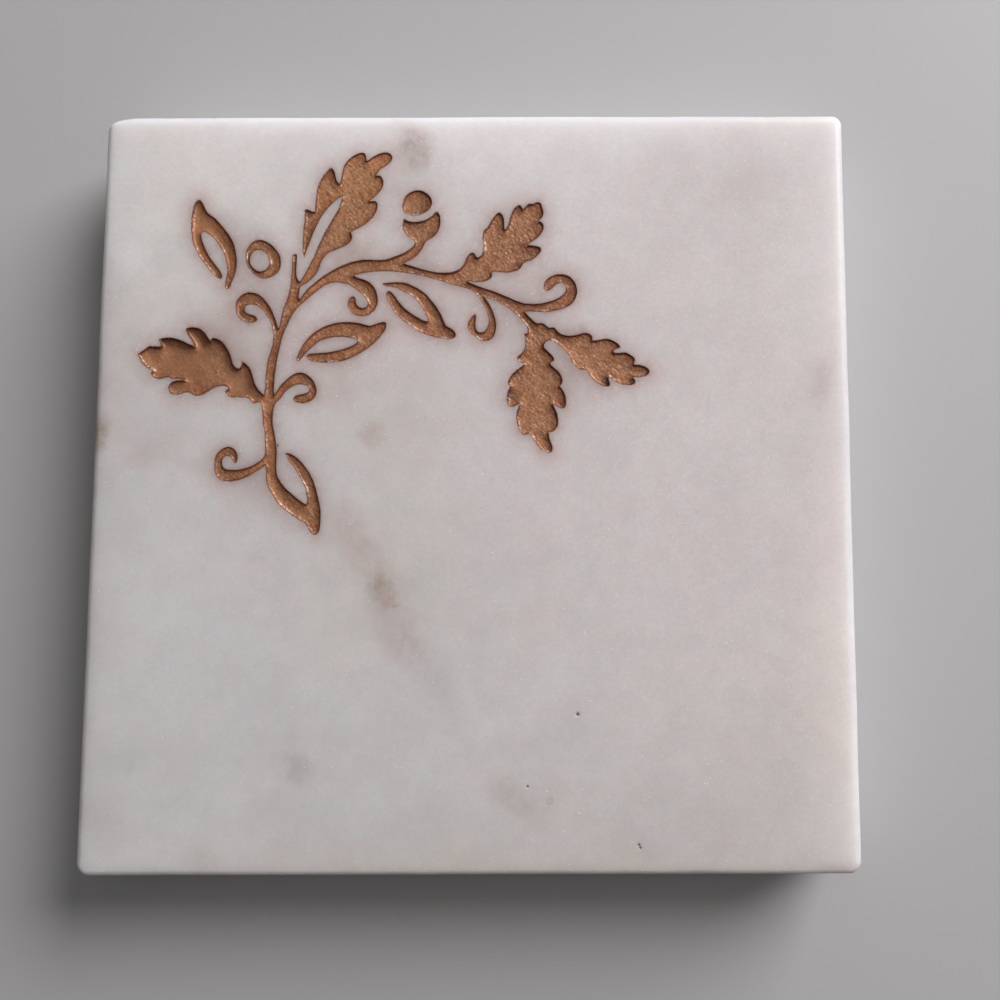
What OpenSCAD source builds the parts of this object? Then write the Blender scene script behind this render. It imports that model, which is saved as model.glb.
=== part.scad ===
// Square stone drink coaster with an oak spray sunk into its top face and gilded.
// Millimetres. The origin is the middle of the footprint on the surface that the pads stand on.
// +Z is up, +Y points to the top of the ornament and +X to its right.

/* [Slab] */
// Length of each side of the square slab
slab_side = 100; // [98:1:120]
// Thickness of the slab
slab_t = 10; // [6:0.5:16]
// Radius of the eased edges around the top and bottom faces
edge_r = 1.2; // [0.4:0.1:2]
// Radius of the four upright corners
corner_r = 1.6; // [0.5:0.1:6]

/* [Ornament] */
// Size of the ornament against its drawing
ornament_scale = 0.992; // [0.8:0.001:1]
// Shift of the ornament to the right
ornament_x = 0.3; // [-1:0.1:20]
// Shift of the ornament to the back
ornament_y = -0.2; // [-35:0.1:1]
// Depth of the sunk floor below the top face
recess_depth = 0.55; // [0.4:0.05:2]
// Thickness of the gold paint film on the sunk floor
film_t = 0.15; // [0.05:0.05:0.3]
// Straight pieces in each span of the smooth outlines
outline_steps = 2; // [1:1:4]

/* [Pads] */
// Diameter of the four bumper pads
pad_d = 10; // [6:0.5:14]
// Height of the pads
pad_h = 1.8; // [1:0.1:4]
// Radius of the rounded lower edge of the pads
pad_edge_r = 0.5; // [0.2:0.1:0.9]
// Distance of each pad's centre from the slab's sides
pad_inset = 12; // [9:0.5:30]
// Diameter of the adhesive discs
adhesive_d = 9.6; // [5:0.1:13]
// Thickness of the adhesive discs
adhesive_t = 0.2; // [0.1:0.05:0.5]

/* [Hidden] */

slab_z = pad_h + adhesive_t;        // underside of the slab
top_z = slab_z + slab_t;            // top face of the slab
floor_z = top_z - recess_depth;     // sunk floor of the ornament
pad_xy = slab_side / 2 - pad_inset; // pad centres, from the middle

gold = [0.70, 0.50, 0.34];
stone = [0.83, 0.80, 0.79];
soft = [0.90, 0.89, 0.86];
glue = [0.93, 0.92, 0.88];

// ---- outlines of the ornament, seen from above ----
// Each outline is a list of runs. A run is a smooth line through its points, and it ends at the
// first point of the next run, so runs meet in crisp corners. One run alone closes on itself.

// stem, side curls, oak leaves, acorn cup and branches, in one piece, clockwise from the foot
spray = [
    // foot, and the left side of the lowest leaf
    [[-20.7, -6.8], [-21.05, -6.75], [-21.4, -6.45], [-21.7, -6], [-22.05, -5.5], [-22.4, -5.15],
     [-23, -4.85], [-23.6, -4.45], [-24.2, -4], [-24.8, -3.55], [-25.4, -3.1], [-25.9, -2.55],
     [-26.35, -1.9], [-26.7, -1.35], [-27.05, -0.8], [-27.3, -0.25], [-27.45, 0.3], [-27.5, 1],
     [-27.5, 1.8]],
    // lower left curl, around its tip and back to the stem
    [[-27.5, 2.45], [-28, 2.15], [-28.6, 1.75], [-29.15, 1.4], [-29.7, 1.05], [-30.35, 0.75],
     [-31, 0.5], [-31.7, 0.35], [-32.35, 0.3], [-33, 0.35], [-33.55, 0.55], [-33.95, 0.9],
     [-34.2, 1.4], [-34.35, 2], [-34.35, 2.65], [-34.3, 3.3], [-34.1, 3.9], [-33.7, 4.35],
     [-33.2, 4.7], [-32.7, 4.85], [-32.15, 4.75], [-31.75, 4.45], [-31.45, 4], [-31.35, 3.5],
     [-31.4, 3], [-31.5, 2.75], [-31.75, 2.7], [-31.9, 2.85], [-32, 3.15], [-32.2, 3.5],
     [-32.55, 3.65], [-32.95, 3.65], [-33.25, 3.4], [-33.4, 2.95], [-33.35, 2.5], [-33.15, 2.1],
     [-32.8, 1.85], [-32.1, 1.8], [-31.35, 1.8], [-30.7, 1.9], [-30, 2.1], [-29.45, 2.3],
     [-28.9, 2.6], [-28.4, 2.95], [-28, 3.35], [-27.75, 3.85], [-27.7, 4.4], [-27.75, 5.1],
     [-27.8, 6.1], [-27.85, 6.9], [-27.95, 7.5], [-28.1, 8], [-28.15, 8.6], [-28.2, 9.4],
     [-28.3, 10.1]],
    // left oak leaf, lower side
    [[-28.45, 10.65], [-28.75, 10.85], [-29, 10.8]],
    [[-29.25, 10.65], [-29.7, 10.9], [-30.05, 11.35], [-30.7, 11.5], [-31.5, 11.5],
     [-32.4, 11.55], [-32.95, 11.85], [-33.25, 12.15], [-33.15, 12.45]],
    [[-32.8, 12.6], [-32.95, 12.95], [-33.45, 13.05], [-34.25, 12.95], [-34.9, 12.7],
     [-35.55, 12.3], [-36.2, 11.9], [-36.85, 11.7], [-37.5, 11.85], [-38.05, 12.15],
     [-38.6, 12.15], [-39.2, 11.95], [-39.85, 11.9], [-40.4, 12], [-40.75, 12.45], [-40.8, 13],
     [-40.6, 13.4], [-40.1, 13.7], [-39.45, 13.8]],
    [[-38.65, 13.85], [-39.3, 14], [-40, 14], [-40.5, 14.1], [-41.05, 14.25], [-41.5, 14.1],
     [-42.05, 14], [-42.6, 14.1], [-43, 14.4]],
    [[-43.3, 14.85], [-43, 15]],
    [[-42.95, 15.2], [-43.4, 15.35], [-43.9, 15.65], [-44.35, 16], [-44.7, 16.55],
     [-44.95, 17.1]],
    // left oak leaf, upper side
    [[-45.05, 17.45], [-44.7, 17.65], [-44.2, 18], [-43.85, 18.3], [-43.4, 18.45],
     [-42.7, 18.4]],
    [[-42.05, 18.35], [-42.1, 18.75], [-42.3, 19.1]],
    [[-42.4, 19.35], [-41.7, 19.55], [-40.9, 19.6], [-40.1, 19.45], [-39.35, 19.2],
     [-38.7, 18.9], [-38.1, 18.6]],
    [[-37.6, 18.5], [-37.85, 18.95], [-38.2, 19.5], [-38.6, 20.15]],
    [[-38.8, 20.85], [-38.15, 21], [-37.5, 20.95], [-36.85, 20.75], [-36.4, 20.4],
     [-36, 19.9], [-35.7, 19.45]],
    [[-35.45, 19.15], [-35.3, 19.45], [-35, 19.55], [-34.4, 19.35], [-33.8, 18.95],
     [-33.4, 18.45], [-33, 17.8], [-32.7, 17.15], [-32.5, 16.5], [-32.3, 15.9], [-31.95, 15.5]],
    [[-31.5, 15.35], [-31.2, 15.7], [-31.15, 16.05]],
    [[-31.3, 16.4], [-30.75, 16.1], [-30.35, 15.75], [-30, 15.3], [-29.75, 14.65],
     [-29.55, 14], [-29.35, 13.35], [-29.05, 12.8], [-28.6, 12.25]],
    // stem up to the upper left curl, the curl, and back to the stem
    [[-28.05, 11.75], [-27.95, 12.65], [-27.95, 13.5], [-27.9, 14.4], [-27.85, 15.2],
     [-27.75, 16], [-27.6, 16.8], [-27.4, 17.5], [-27.2, 18.2], [-27.05, 18.95], [-27, 19.6],
     [-27, 20.15], [-27.1, 20.65], [-27.25, 21.2], [-27.5, 21.85], [-27.85, 22.45],
     [-28.25, 23], [-28.65, 23.45], [-29.1, 23.8], [-29.6, 24.05], [-30.15, 24.1],
     [-30.65, 24], [-30.95, 23.75], [-31.05, 23.4], [-30.9, 23.05], [-30.5, 22.8],
     [-29.95, 22.65], [-29.5, 22.45], [-29.25, 22.1], [-29.35, 21.85], [-29.6, 21.7],
     [-30.15, 21.6], [-30.75, 21.75], [-31.3, 22], [-31.7, 22.35], [-32, 22.8],
     [-32.15, 23.4], [-32.2, 24.1], [-32.05, 24.65], [-31.75, 25.05], [-31.4, 25.4],
     [-30.9, 25.65], [-30.35, 25.75], [-29.7, 25.65], [-29.1, 25.4], [-28.6, 25],
     [-28.1, 24.45], [-27.7, 23.9], [-27.35, 23.3], [-27.05, 22.6], [-26.8, 21.95],
     [-26.6, 21.3]],
    [[-26.35, 20.75], [-26.2, 21.4], [-26.05, 22.15], [-25.9, 23], [-25.65, 23.8],
     [-25.35, 24.7], [-25.1, 25.5], [-24.95, 26.3], [-24.85, 27.2], [-24.8, 28.1],
     [-24.75, 29.05], [-24.75, 30]],
    // cut end of the stem
    [[-24.7, 30.9], [-24.45, 31]],
    [[-24.15, 31.05], [-24.15, 30], [-24.2, 28.9], [-24.15, 28.05], [-23.95, 27.5]],
    // top oak leaf: left side of its neck, the slit, and its left prong
    [[-23.7, 27.15], [-23.1, 28.1], [-22.8, 28.65], [-22.5, 29.25], [-22.2, 29.9],
     [-21.85, 30.6], [-21.55, 31.35], [-21.2, 32.3], [-20.8, 33.2], [-20.35, 34.2],
     [-19.85, 35.1], [-19.35, 36], [-18.9, 36.8], [-18.55, 37.5], [-18.35, 38.2]],
    [[-18.15, 39], [-18.5, 38.9], [-18.95, 38.6], [-19.55, 38], [-20.2, 37.3], [-20.7, 36.65],
     [-21.1, 36], [-21.45, 35.25], [-21.8, 34.45], [-22.15, 33.55], [-22.45, 32.7],
     [-22.75, 31.9], [-23, 31.1]],
    [[-23.1, 30.4], [-23.3, 31.2], [-23.35, 32.3], [-23.35, 33.5], [-23.3, 34.8],
     [-23.2, 36]],
    // top oak leaf, left and upper side
    [[-23.25, 37.2], [-22.8, 37.2], [-22.35, 36.95]],
    [[-21.85, 36.85], [-21.8, 38], [-21.7, 39.1], [-21.6, 40], [-21.4, 40.8], [-21, 41.6],
     [-20.5, 42.3]],
    [[-19.85, 43.1], [-19.4, 42.65], [-19.2, 42], [-19, 41.3]],
    [[-18.6, 40.7], [-18.4, 41.5], [-18.25, 42.3], [-18, 43.3], [-17.55, 44], [-16.95, 44.6],
     [-16.2, 45], [-15.6, 45.15], [-15.2, 45], [-15.05, 44.5]],
    [[-15, 43.9], [-14.45, 44.3], [-13.7, 44.8], [-12.9, 45.1], [-12.15, 45.15],
     [-11.65, 44.85], [-11.5, 44.35], [-11.75, 43.8], [-12.3, 43.3], [-13, 42.85],
     [-13.45, 42.35]],
    // top oak leaf, right side and neck
    [[-13.7, 41.8], [-13.35, 41.95], [-13, 41.85], [-12.75, 41.4], [-12.65, 40.75],
     [-12.85, 40.1], [-13.3, 39.5], [-13.8, 38.95]],
    [[-14.6, 38.35], [-14.1, 38.35], [-13.7, 38.35], [-13.45, 38.05], [-13.45, 37.3],
     [-13.7, 36.6], [-14.15, 35.95], [-14.75, 35.35], [-15.4, 34.9], [-16.1, 34.5]],
    [[-17, 34.05], [-16.8, 33.65], [-16.75, 33.2], [-17, 32.75], [-17.45, 32.3], [-18.1, 31.95],
     [-18.9, 31.6], [-19.7, 31.3], [-20.15, 31], [-20.55, 30.5], [-20.9, 29.85],
     [-21.1, 29.2], [-21.35, 28.55], [-21.75, 27.95], [-22.35, 27.35], [-22.9, 26.95]],
    [[-23.3, 26.75], [-23.6, 26.45], [-23.75, 25.75], [-23.8, 25.05]],
    // upper side of the branch, up the acorn's stalk and around its cup
    [[-23.65, 24.7], [-23.15, 25.5], [-22.7, 26.1], [-22.1, 26.65], [-21.35, 27.3],
     [-20.55, 27.95], [-19.7, 28.5], [-18.85, 29], [-18, 29.4], [-17.05, 29.8], [-16.1, 30.05],
     [-15.2, 30.2], [-14.1, 30.2], [-12.95, 30.15], [-12, 30.25], [-11.3, 30.5], [-10.5, 30.8],
     [-9.8, 31.1], [-9.2, 31.45], [-8.65, 31.9], [-8.3, 32.35], [-8.25, 32.7], [-8.5, 33],
     [-8.95, 33.25], [-9.35, 33.6], [-9.7, 34.1], [-9.9, 34.65], [-9.9, 35.25]],
    [[-9.8, 35.95], [-9.35, 35.6], [-8.7, 35.45], [-8, 35.45], [-7.25, 35.6], [-6.5, 35.9],
     [-5.9, 36.35]],
    [[-5.35, 36.95], [-5, 36.5], [-4.85, 35.95], [-4.85, 35.25], [-4.95, 34.65], [-5.2, 34.05],
     [-5.6, 33.5], [-6.1, 33.15], [-6.6, 32.9], [-6.9, 32.5], [-7.2, 31.9], [-7.6, 31.25],
     [-8.1, 30.7], [-8.65, 30.3], [-9.3, 29.95]],
    [[-9.8, 29.75], [-9.2, 29.5], [-8.35, 29.25], [-7.45, 28.95], [-6.5, 28.7], [-5.6, 28.5],
     [-4.7, 28.4], [-3.8, 28.4], [-2.95, 28.55], [-2.2, 28.9], [-1.7, 29.45], [-1.4, 30.1],
     [-1.1, 30.7], [-0.65, 31.1], [-0.25, 31.1], [-0.1, 30.85]],
    // right oak leaf
    [[0.1, 30.45], [0.7, 30.75], [0.95, 31.3], [1.05, 32.1], [1, 32.7], [0.85, 33.1],
     [0.95, 33.7], [1.1, 34.25], [1.5, 34.6], [1.75, 35], [2, 35.5], [2.3, 35.95], [2.65, 36.4],
     [3.05, 36.75], [3.45, 36.5], [3.7, 36], [3.8, 35.3], [3.8, 34.7]],
    [[3.95, 34.2], [4.3, 34.85], [4.5, 35.6], [4.75, 36.35], [5, 37.05], [5.4, 37.55],
     [5.8, 37.75], [6.1, 37.6]],
    [[6.3, 37.15], [6.65, 37.5], [7, 37.85], [7.35, 37.95]],
    [[7.65, 37.8], [8, 38.05], [8.45, 38.15], [8.8, 37.9], [8.95, 37.35], [9.1, 36.75],
     [9, 36.2], [8.7, 35.8]],
    [[8.3, 35.5], [8.65, 35.45], [9, 35.2], [9.15, 34.75], [9, 34.15], [8.65, 33.6],
     [8.15, 33.1], [7.5, 32.65]],
    [[6.85, 32.2], [7.5, 32.15], [8.15, 32.05], [8.65, 31.85], [8.8, 31.5], [8.55, 31],
     [8, 30.5], [7.4, 30.1], [6.75, 29.9], [6.35, 29.65], [6.15, 29.2], [5.75, 28.8],
     [5.1, 28.55], [4.2, 28.4], [3.3, 28.5], [2.6, 28.6]],
    [[2.1, 28.45], [2.2, 28], [2, 27.6], [1.45, 27.3], [0.65, 27.15], [-0.2, 27.15],
     [-0.75, 27.25]],
    // end of the branch and the right curl
    [[-1.25, 27.2], [-0.05, 26.7], [1.1, 26.25], [2.3, 25.85], [3.45, 25.4], [4.6, 24.9],
     [5.55, 24.5], [6.4, 24.2], [7.3, 24.1], [8.25, 24.1], [9.3, 24.25], [10.25, 24.5],
     [11.05, 24.85], [11.7, 25.3], [12.1, 25.75], [12.2, 26.3], [11.9, 26.8], [11.35, 26.95],
     [10.85, 26.8], [10.5, 26.45], [10.1, 26.1], [9.65, 25.9], [9.3, 26], [9.2, 26.45],
     [9.3, 27], [9.75, 27.6], [10.35, 27.95], [11.1, 28.15], [11.9, 28.1], [12.6, 27.85],
     [13.15, 27.35], [13.5, 26.65], [13.65, 25.85], [13.5, 25], [13.05, 24.25], [12.35, 23.7],
     [11.4, 23.35], [10.35, 23.1], [9.2, 23], [8, 23.05], [7.2, 23.1]],
    // end leaf on the right
    [[6.6, 23], [7.05, 22.5], [7.55, 22]],
    [[8.05, 21.5], [8.4, 21.4], [8.8, 21.5], [9.25, 21.3], [9.65, 20.95]],
    [[10, 20.8], [10.45, 20.9], [10.8, 20.6], [11.15, 20.2], [11.65, 19.9], [12.3, 19.75],
     [12.95, 19.75], [13.6, 19.85], [14.1, 20], [14.6, 20.1], [15.1, 20.05], [15.5, 19.85],
     [15.65, 19.5]],
    [[15.65, 19.05], [16.2, 19.1], [16.8, 19.2], [17.4, 19.3], [17.95, 19.25], [18.45, 19.05],
     [18.85, 18.8], [19.2, 18.5]],
    [[19.5, 18.15], [19.15, 18], [18.8, 17.9], [18.55, 17.75]],
    [[18.4, 17.45], [18.9, 17.35], [19.4, 17.4], [19.95, 17.45], [20.45, 17.3], [20.95, 17],
     [21.3, 16.65], [21.35, 16.3]],
    [[21.1, 15.85], [21.5, 15.75], [22, 15.75], [22.5, 15.6], [23.05, 15.3], [23.3, 14.95],
     [23.2, 14.6], [22.85, 14.3], [22.3, 14.15], [21.8, 14.1], [21.4, 14.15]],
    [[21, 14], [21.3, 13.8], [21.4, 13.5], [21.25, 13.2], [20.9, 13.05], [20.25, 13.05],
     [19.6, 13.15], [19, 13.35], [18.5, 13.7], [18.1, 14.05]],
    [[17.75, 14.3], [17.85, 13.8], [17.95, 13.35]],
    [[18, 12.9], [17.5, 12.85], [17, 13], [16.5, 13.25], [16.1, 13.5], [15.7, 13.85],
     [15.4, 14.2], [15.15, 14.65], [14.95, 14.95]],
    [[14.6, 15.15], [14.15, 15.15], [13.75, 15.3], [13.4, 15.65], [13.1, 15.95],
     [12.85, 16.35], [12.7, 16.85], [12.45, 17.3], [12, 17.75], [11.65, 18.15], [11.2, 18.55],
     [10.75, 18.9], [10.25, 19.15], [9.75, 19.1], [9.3, 18.75], [9.15, 18.4]],
    // hanging leaf, right side and tip
    [[9.25, 18.05], [9.7, 17.65], [10.15, 17.2], [10.45, 16.8]],
    [[10.6, 16.35], [10.25, 16.2]],
    [[9.95, 16], [10.25, 15.65], [10.6, 15.35], [11, 15], [11.35, 14.6], [11.6, 14.05],
     [11.65, 13.5], [11.5, 13.1]],
    [[11.15, 12.9], [11.4, 12.75], [11.7, 12.35], [11.95, 11.9], [12.1, 11.35], [12.15, 10.7],
     [12.05, 10.15], [11.7, 9.9], [11.2, 10.05], [10.75, 10.3]],
    [[10.3, 10.6], [10.55, 10.1], [10.8, 9.6], [11, 9.1], [11.1, 8.6], [11.1, 8.05],
     [11, 7.55], [10.75, 7.1], [10.4, 6.85], [10.1, 6.8]],
    [[9.8, 6.75], [9.85, 6.35], [9.95, 5.9], [10.1, 5.4], [10.3, 4.9], [10.35, 4.4],
     [10.15, 4.1], [9.75, 4], [9.3, 4.15], [8.85, 4.45], [8.4, 4.95], [7.95, 5.6],
     [7.6, 6.15]],
    // hanging leaf, left side
    [[7.3, 6.6], [7, 6.5], [6.6, 6.4], [6.25, 6.55], [6, 6.9], [5.85, 7.35], [5.7, 7.8],
     [5.6, 8.35], [5.55, 9], [5.65, 9.6], [5.85, 10.15]],
    [[6.05, 10.65], [5.55, 10.35], [5.15, 10.15], [4.75, 10.15], [4.45, 10.45], [4.3, 10.9],
     [4.25, 11.45], [4.35, 12.1], [4.55, 12.6]],
    [[4.8, 13], [4.45, 13.15], [4.4, 13.5], [4.6, 14], [5, 14.55], [5.45, 15], [5.9, 15.35],
     [6.35, 15.65]],
    [[6.65, 15.9], [6.3, 16.05], [5.9, 16.25], [5.65, 16.6], [5.7, 16.95], [6.05, 17.2],
     [6.45, 17.65], [6.7, 18.25], [6.75, 18.9], [6.7, 19.45]],
    [[6.55, 20.05], [6.8, 20.05]],
    // lower side of the branch
    [[7.05, 20.1], [7.05, 20.5], [6.9, 21], [6.55, 21.5], [6.1, 22.05], [5.7, 22.45],
     [5.2, 22.9], [4.6, 23.4], [4, 23.85], [3.25, 24.3], [2.5, 24.65], [1.9, 24.85]],
    // small curl under the branch
    [[1.15, 25], [1.7, 24.3], [2.15, 23.5], [2.5, 22.55], [2.75, 21.6], [2.75, 20.6],
     [2.5, 19.8], [2.05, 19.25], [1.35, 19.05], [0.6, 19.2], [0.1, 19.6], [-0.5, 20.05],
     [-0.9, 20.6], [-1, 21.2], [-0.8, 21.85], [-0.4, 22.4]],
    [[0.05, 22.8], [0.05, 22.1], [0, 21.4], [0.05, 20.75], [0.3, 20.35], [0.8, 20.2],
     [1.3, 20.4], [1.65, 20.9], [1.8, 21.6], [1.7, 22.55], [1.35, 23.5], [0.85, 24.45],
     [0.25, 25.25], [-0.3, 25.8], [-1, 26.2], [-2, 26.5], [-3, 26.8], [-4, 27.1],
     [-5.2, 27.45], [-6.3, 27.75], [-7.4, 28.05], [-8.35, 28.25], [-9.35, 28.4],
     [-10.6, 28.55], [-12, 28.65], [-13.4, 28.6], [-14.45, 28.5], [-15.4, 28.35]],
    // round curl under the branch
    [[-16.45, 28.05], [-16, 27.75], [-15.45, 27.6], [-14.75, 27.35], [-14.05, 26.85],
     [-13.5, 26.15], [-13.25, 25.4], [-13.15, 24.6], [-13.3, 23.8], [-13.7, 23.15],
     [-14.3, 22.7], [-15, 22.5], [-15.75, 22.55], [-16.4, 22.85], [-16.9, 23.35],
     [-17.15, 24.05], [-17, 24.75], [-16.7, 25.1], [-16.35, 25.15], [-16.15, 24.9],
     [-16.1, 24.4], [-15.85, 23.9], [-15.4, 23.6], [-14.85, 23.6], [-14.5, 24],
     [-14.55, 24.6], [-15, 25.2], [-15.5, 25.7], [-16.1, 26.15], [-16.7, 26.6],
     [-17.35, 26.9], [-18.05, 27.05], [-18.95, 27.1], [-19.8, 26.95], [-20.5, 26.6],
     [-21.15, 26.1], [-21.75, 25.6], [-22.4, 25.05], [-23, 24.5], [-23.6, 23.95],
     [-24.1, 23.4], [-24.5, 22.8], [-24.9, 22.05], [-25.25, 21.2], [-25.6, 20.4],
     [-25.85, 19.6], [-26.05, 18.8], [-26.2, 18], [-26.35, 17.2], [-26.5, 16.35],
     [-26.6, 15.5], [-26.7, 14.7], [-26.75, 13.85], [-26.8, 13], [-26.8, 12.3]],
    // right curl of the stem
    [[-26.7, 11.75], [-26.4, 12.3], [-26.05, 12.85], [-25.65, 13.35], [-25.25, 13.75],
     [-24.8, 14.15], [-24.4, 14.45], [-23.95, 14.7], [-23.4, 14.8], [-22.9, 14.75],
     [-22.4, 14.5], [-21.9, 14.1], [-21.5, 13.6], [-21.25, 13.05], [-21.1, 12.5],
     [-21.15, 11.9], [-21.45, 11.35], [-21.85, 11], [-22.4, 10.8], [-22.95, 10.7],
     [-23.5, 10.75], [-23.95, 10.95], [-24.15, 11.25], [-24, 11.55], [-23.5, 11.8],
     [-22.95, 11.9], [-22.45, 12.05], [-22.1, 12.3], [-22.05, 12.65], [-22.25, 13],
     [-22.7, 13.2], [-23.3, 13.25], [-23.9, 13.15], [-24.4, 12.9], [-24.95, 12.55],
     [-25.35, 12.15], [-25.7, 11.65], [-26, 11.2], [-26.4, 10.85], [-26.65, 10.4],
     [-26.8, 9.8], [-26.85, 9], [-26.85, 8.25], [-26.75, 7.4], [-26.55, 6.55], [-26.4, 5.7],
     [-26.25, 4.9], [-26.2, 4.1], [-26.2, 3.2], [-26.2, 2.3], [-26.15, 1.5], [-26, 0.85],
     [-25.6, 0.2], [-25.15, -0.4], [-24.55, -1], [-23.9, -1.55], [-23.3, -2.05],
     [-22.65, -2.55]],
    // free arm of the lowest leaf
    [[-22.1, -2.85], [-22, -2.4], [-22.05, -1.8], [-22.15, -1.1], [-22.35, -0.4],
     [-22.65, 0.2], [-22.95, 0.75], [-23.25, 1.3], [-23.65, 1.9], [-24.1, 2.5],
     [-24.55, 3.1], [-24.85, 3.6]],
    [[-25, 4.05], [-24.5, 3.95], [-23.9, 3.65], [-23.3, 3.2], [-22.7, 2.6], [-22.2, 1.95],
     [-21.75, 1.3], [-21.35, 0.5], [-21, -0.4], [-20.75, -1.3], [-20.5, -2.2], [-20.3, -3.1],
     [-20.2, -4], [-20.2, -5], [-20.25, -5.8], [-20.4, -6.4]]
];

// open leaf at the upper left, a horseshoe with its gap at the foot
open_leaf_left = [
    [[-37.5, 38.6], [-37.05, 38.05], [-36.6, 37.1], [-36.1, 36.5], [-35.45, 36.1],
     [-34.9, 35.55], [-34.35, 34.9], [-33.8, 34.2], [-33.25, 33.45], [-32.8, 32.6],
     [-32.5, 31.7], [-32.3, 30.75], [-32.25, 29.8], [-32.3, 28.9], [-32.5, 28.1],
     [-32.8, 27.3], [-33, 26.65], [-33.3, 26.25], [-33.6, 26.35], [-33.7, 26.8],
     [-33.6, 27.65], [-33.45, 28.6], [-33.5, 29.45], [-33.7, 30.25], [-34, 31.1],
     [-34.5, 32], [-35, 32.75], [-35.6, 33.45], [-36.2, 33.9]],
    [[-36.85, 34.25], [-37.15, 34.05], [-37.15, 33.55], [-37, 32.9], [-36.7, 32.1],
     [-36.35, 31.35], [-35.9, 30.6], [-35.35, 29.85], [-34.8, 29.15], [-34.35, 28.5]],
    [[-34.1, 27.85], [-34.4, 27.6], [-34.8, 27.8], [-35.35, 28.3], [-36, 29],
     [-36.65, 29.85], [-37.3, 30.75], [-37.8, 31.7], [-38.2, 32.6], [-38.4, 33.5],
     [-38.5, 34.45], [-38.55, 35.5], [-38.5, 36.4], [-38.4, 37.2], [-38.2, 37.95],
     [-37.9, 38.45]]
];

// small ring, outer and inner edge
berry_outer = [[
    [-31, 30.4], [-31, 31.2], [-30.75, 31.95], [-30.15, 32.65], [-29.2, 33], [-28.05, 32.6],
    [-27.1, 31.75], [-26.5, 30.85], [-26.3, 29.95], [-26.4, 29.05], [-26.9, 28.3],
    [-27.75, 27.8], [-28.8, 27.7], [-29.8, 28.2], [-30.5, 29], [-30.9, 29.75]
]];
berry_inner = [[
    [-30.5, 30.4], [-30.2, 31.2], [-29.6, 31.6], [-28.8, 31.5], [-28.1, 30.85], [-27.8, 30],
    [-28, 29.2], [-28.5, 28.75], [-29.25, 28.65], [-29.95, 29.05], [-30.4, 29.7]
]];

// nut of the acorn, above its cup
acorn_nut = [[
    [-9.95, 37.9], [-9.8, 38.6], [-9.35, 39.25], [-8.65, 39.7], [-7.9, 39.85], [-7.2, 39.7],
    [-6.5, 39.2], [-6.1, 38.6], [-6, 38], [-6.2, 37.45], [-6.6, 37], [-7.25, 36.6],
    [-8, 36.4], [-8.7, 36.35], [-9.3, 36.55], [-9.75, 36.9], [-10, 37.4]
]];

// open leaf to the right of the stem
open_leaf_lower = [
    [[-23.85, 16.6], [-23.7, 17.1], [-23.45, 17.75], [-23.1, 18.4], [-22.7, 19.05],
     [-22.2, 19.65], [-21.6, 20.2], [-21, 20.6], [-20.4, 20.95], [-19.75, 21.25],
     [-19.05, 21.45], [-18.3, 21.6], [-17.5, 21.65], [-16.7, 21.65], [-15.9, 21.55],
     [-15.15, 21.4], [-14.5, 21.2]],
    [[-14, 21.15], [-13.5, 21.35], [-12.9, 21.55], [-12.35, 21.65]],
    [[-11.95, 21.6], [-11.95, 21.2], [-12.05, 20.75], [-12.35, 20.2], [-12.8, 19.6],
     [-13.3, 19.05], [-13.8, 18.55], [-14.45, 18.05], [-15.15, 17.6], [-15.9, 17.15],
     [-16.7, 16.75], [-17.5, 16.45], [-18.3, 16.3], [-19.05, 16.2], [-19.8, 16.15],
     [-20.6, 16.2], [-21.3, 16.3], [-21.9, 16.45], [-22.3, 16.65], [-22.55, 16.95],
     [-22.4, 17.2], [-22.05, 17.35], [-21.5, 17.4], [-20.8, 17.45], [-20.05, 17.5],
     [-19.25, 17.6], [-18.5, 17.75], [-17.7, 17.95], [-17, 18.2], [-16.35, 18.5],
     [-15.9, 18.8]],
    [[-15.6, 19.05], [-16.05, 19.3], [-16.55, 19.5], [-17.2, 19.6], [-18.1, 19.65],
     [-18.9, 19.6], [-19.6, 19.5], [-20.2, 19.35], [-20.8, 19.1], [-21.3, 18.75],
     [-21.7, 18.4], [-22.15, 18], [-22.6, 17.55], [-22.95, 17.1], [-23.3, 16.7]],
    [[-23.5, 16.4], [-23.75, 16.4]]
];

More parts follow.
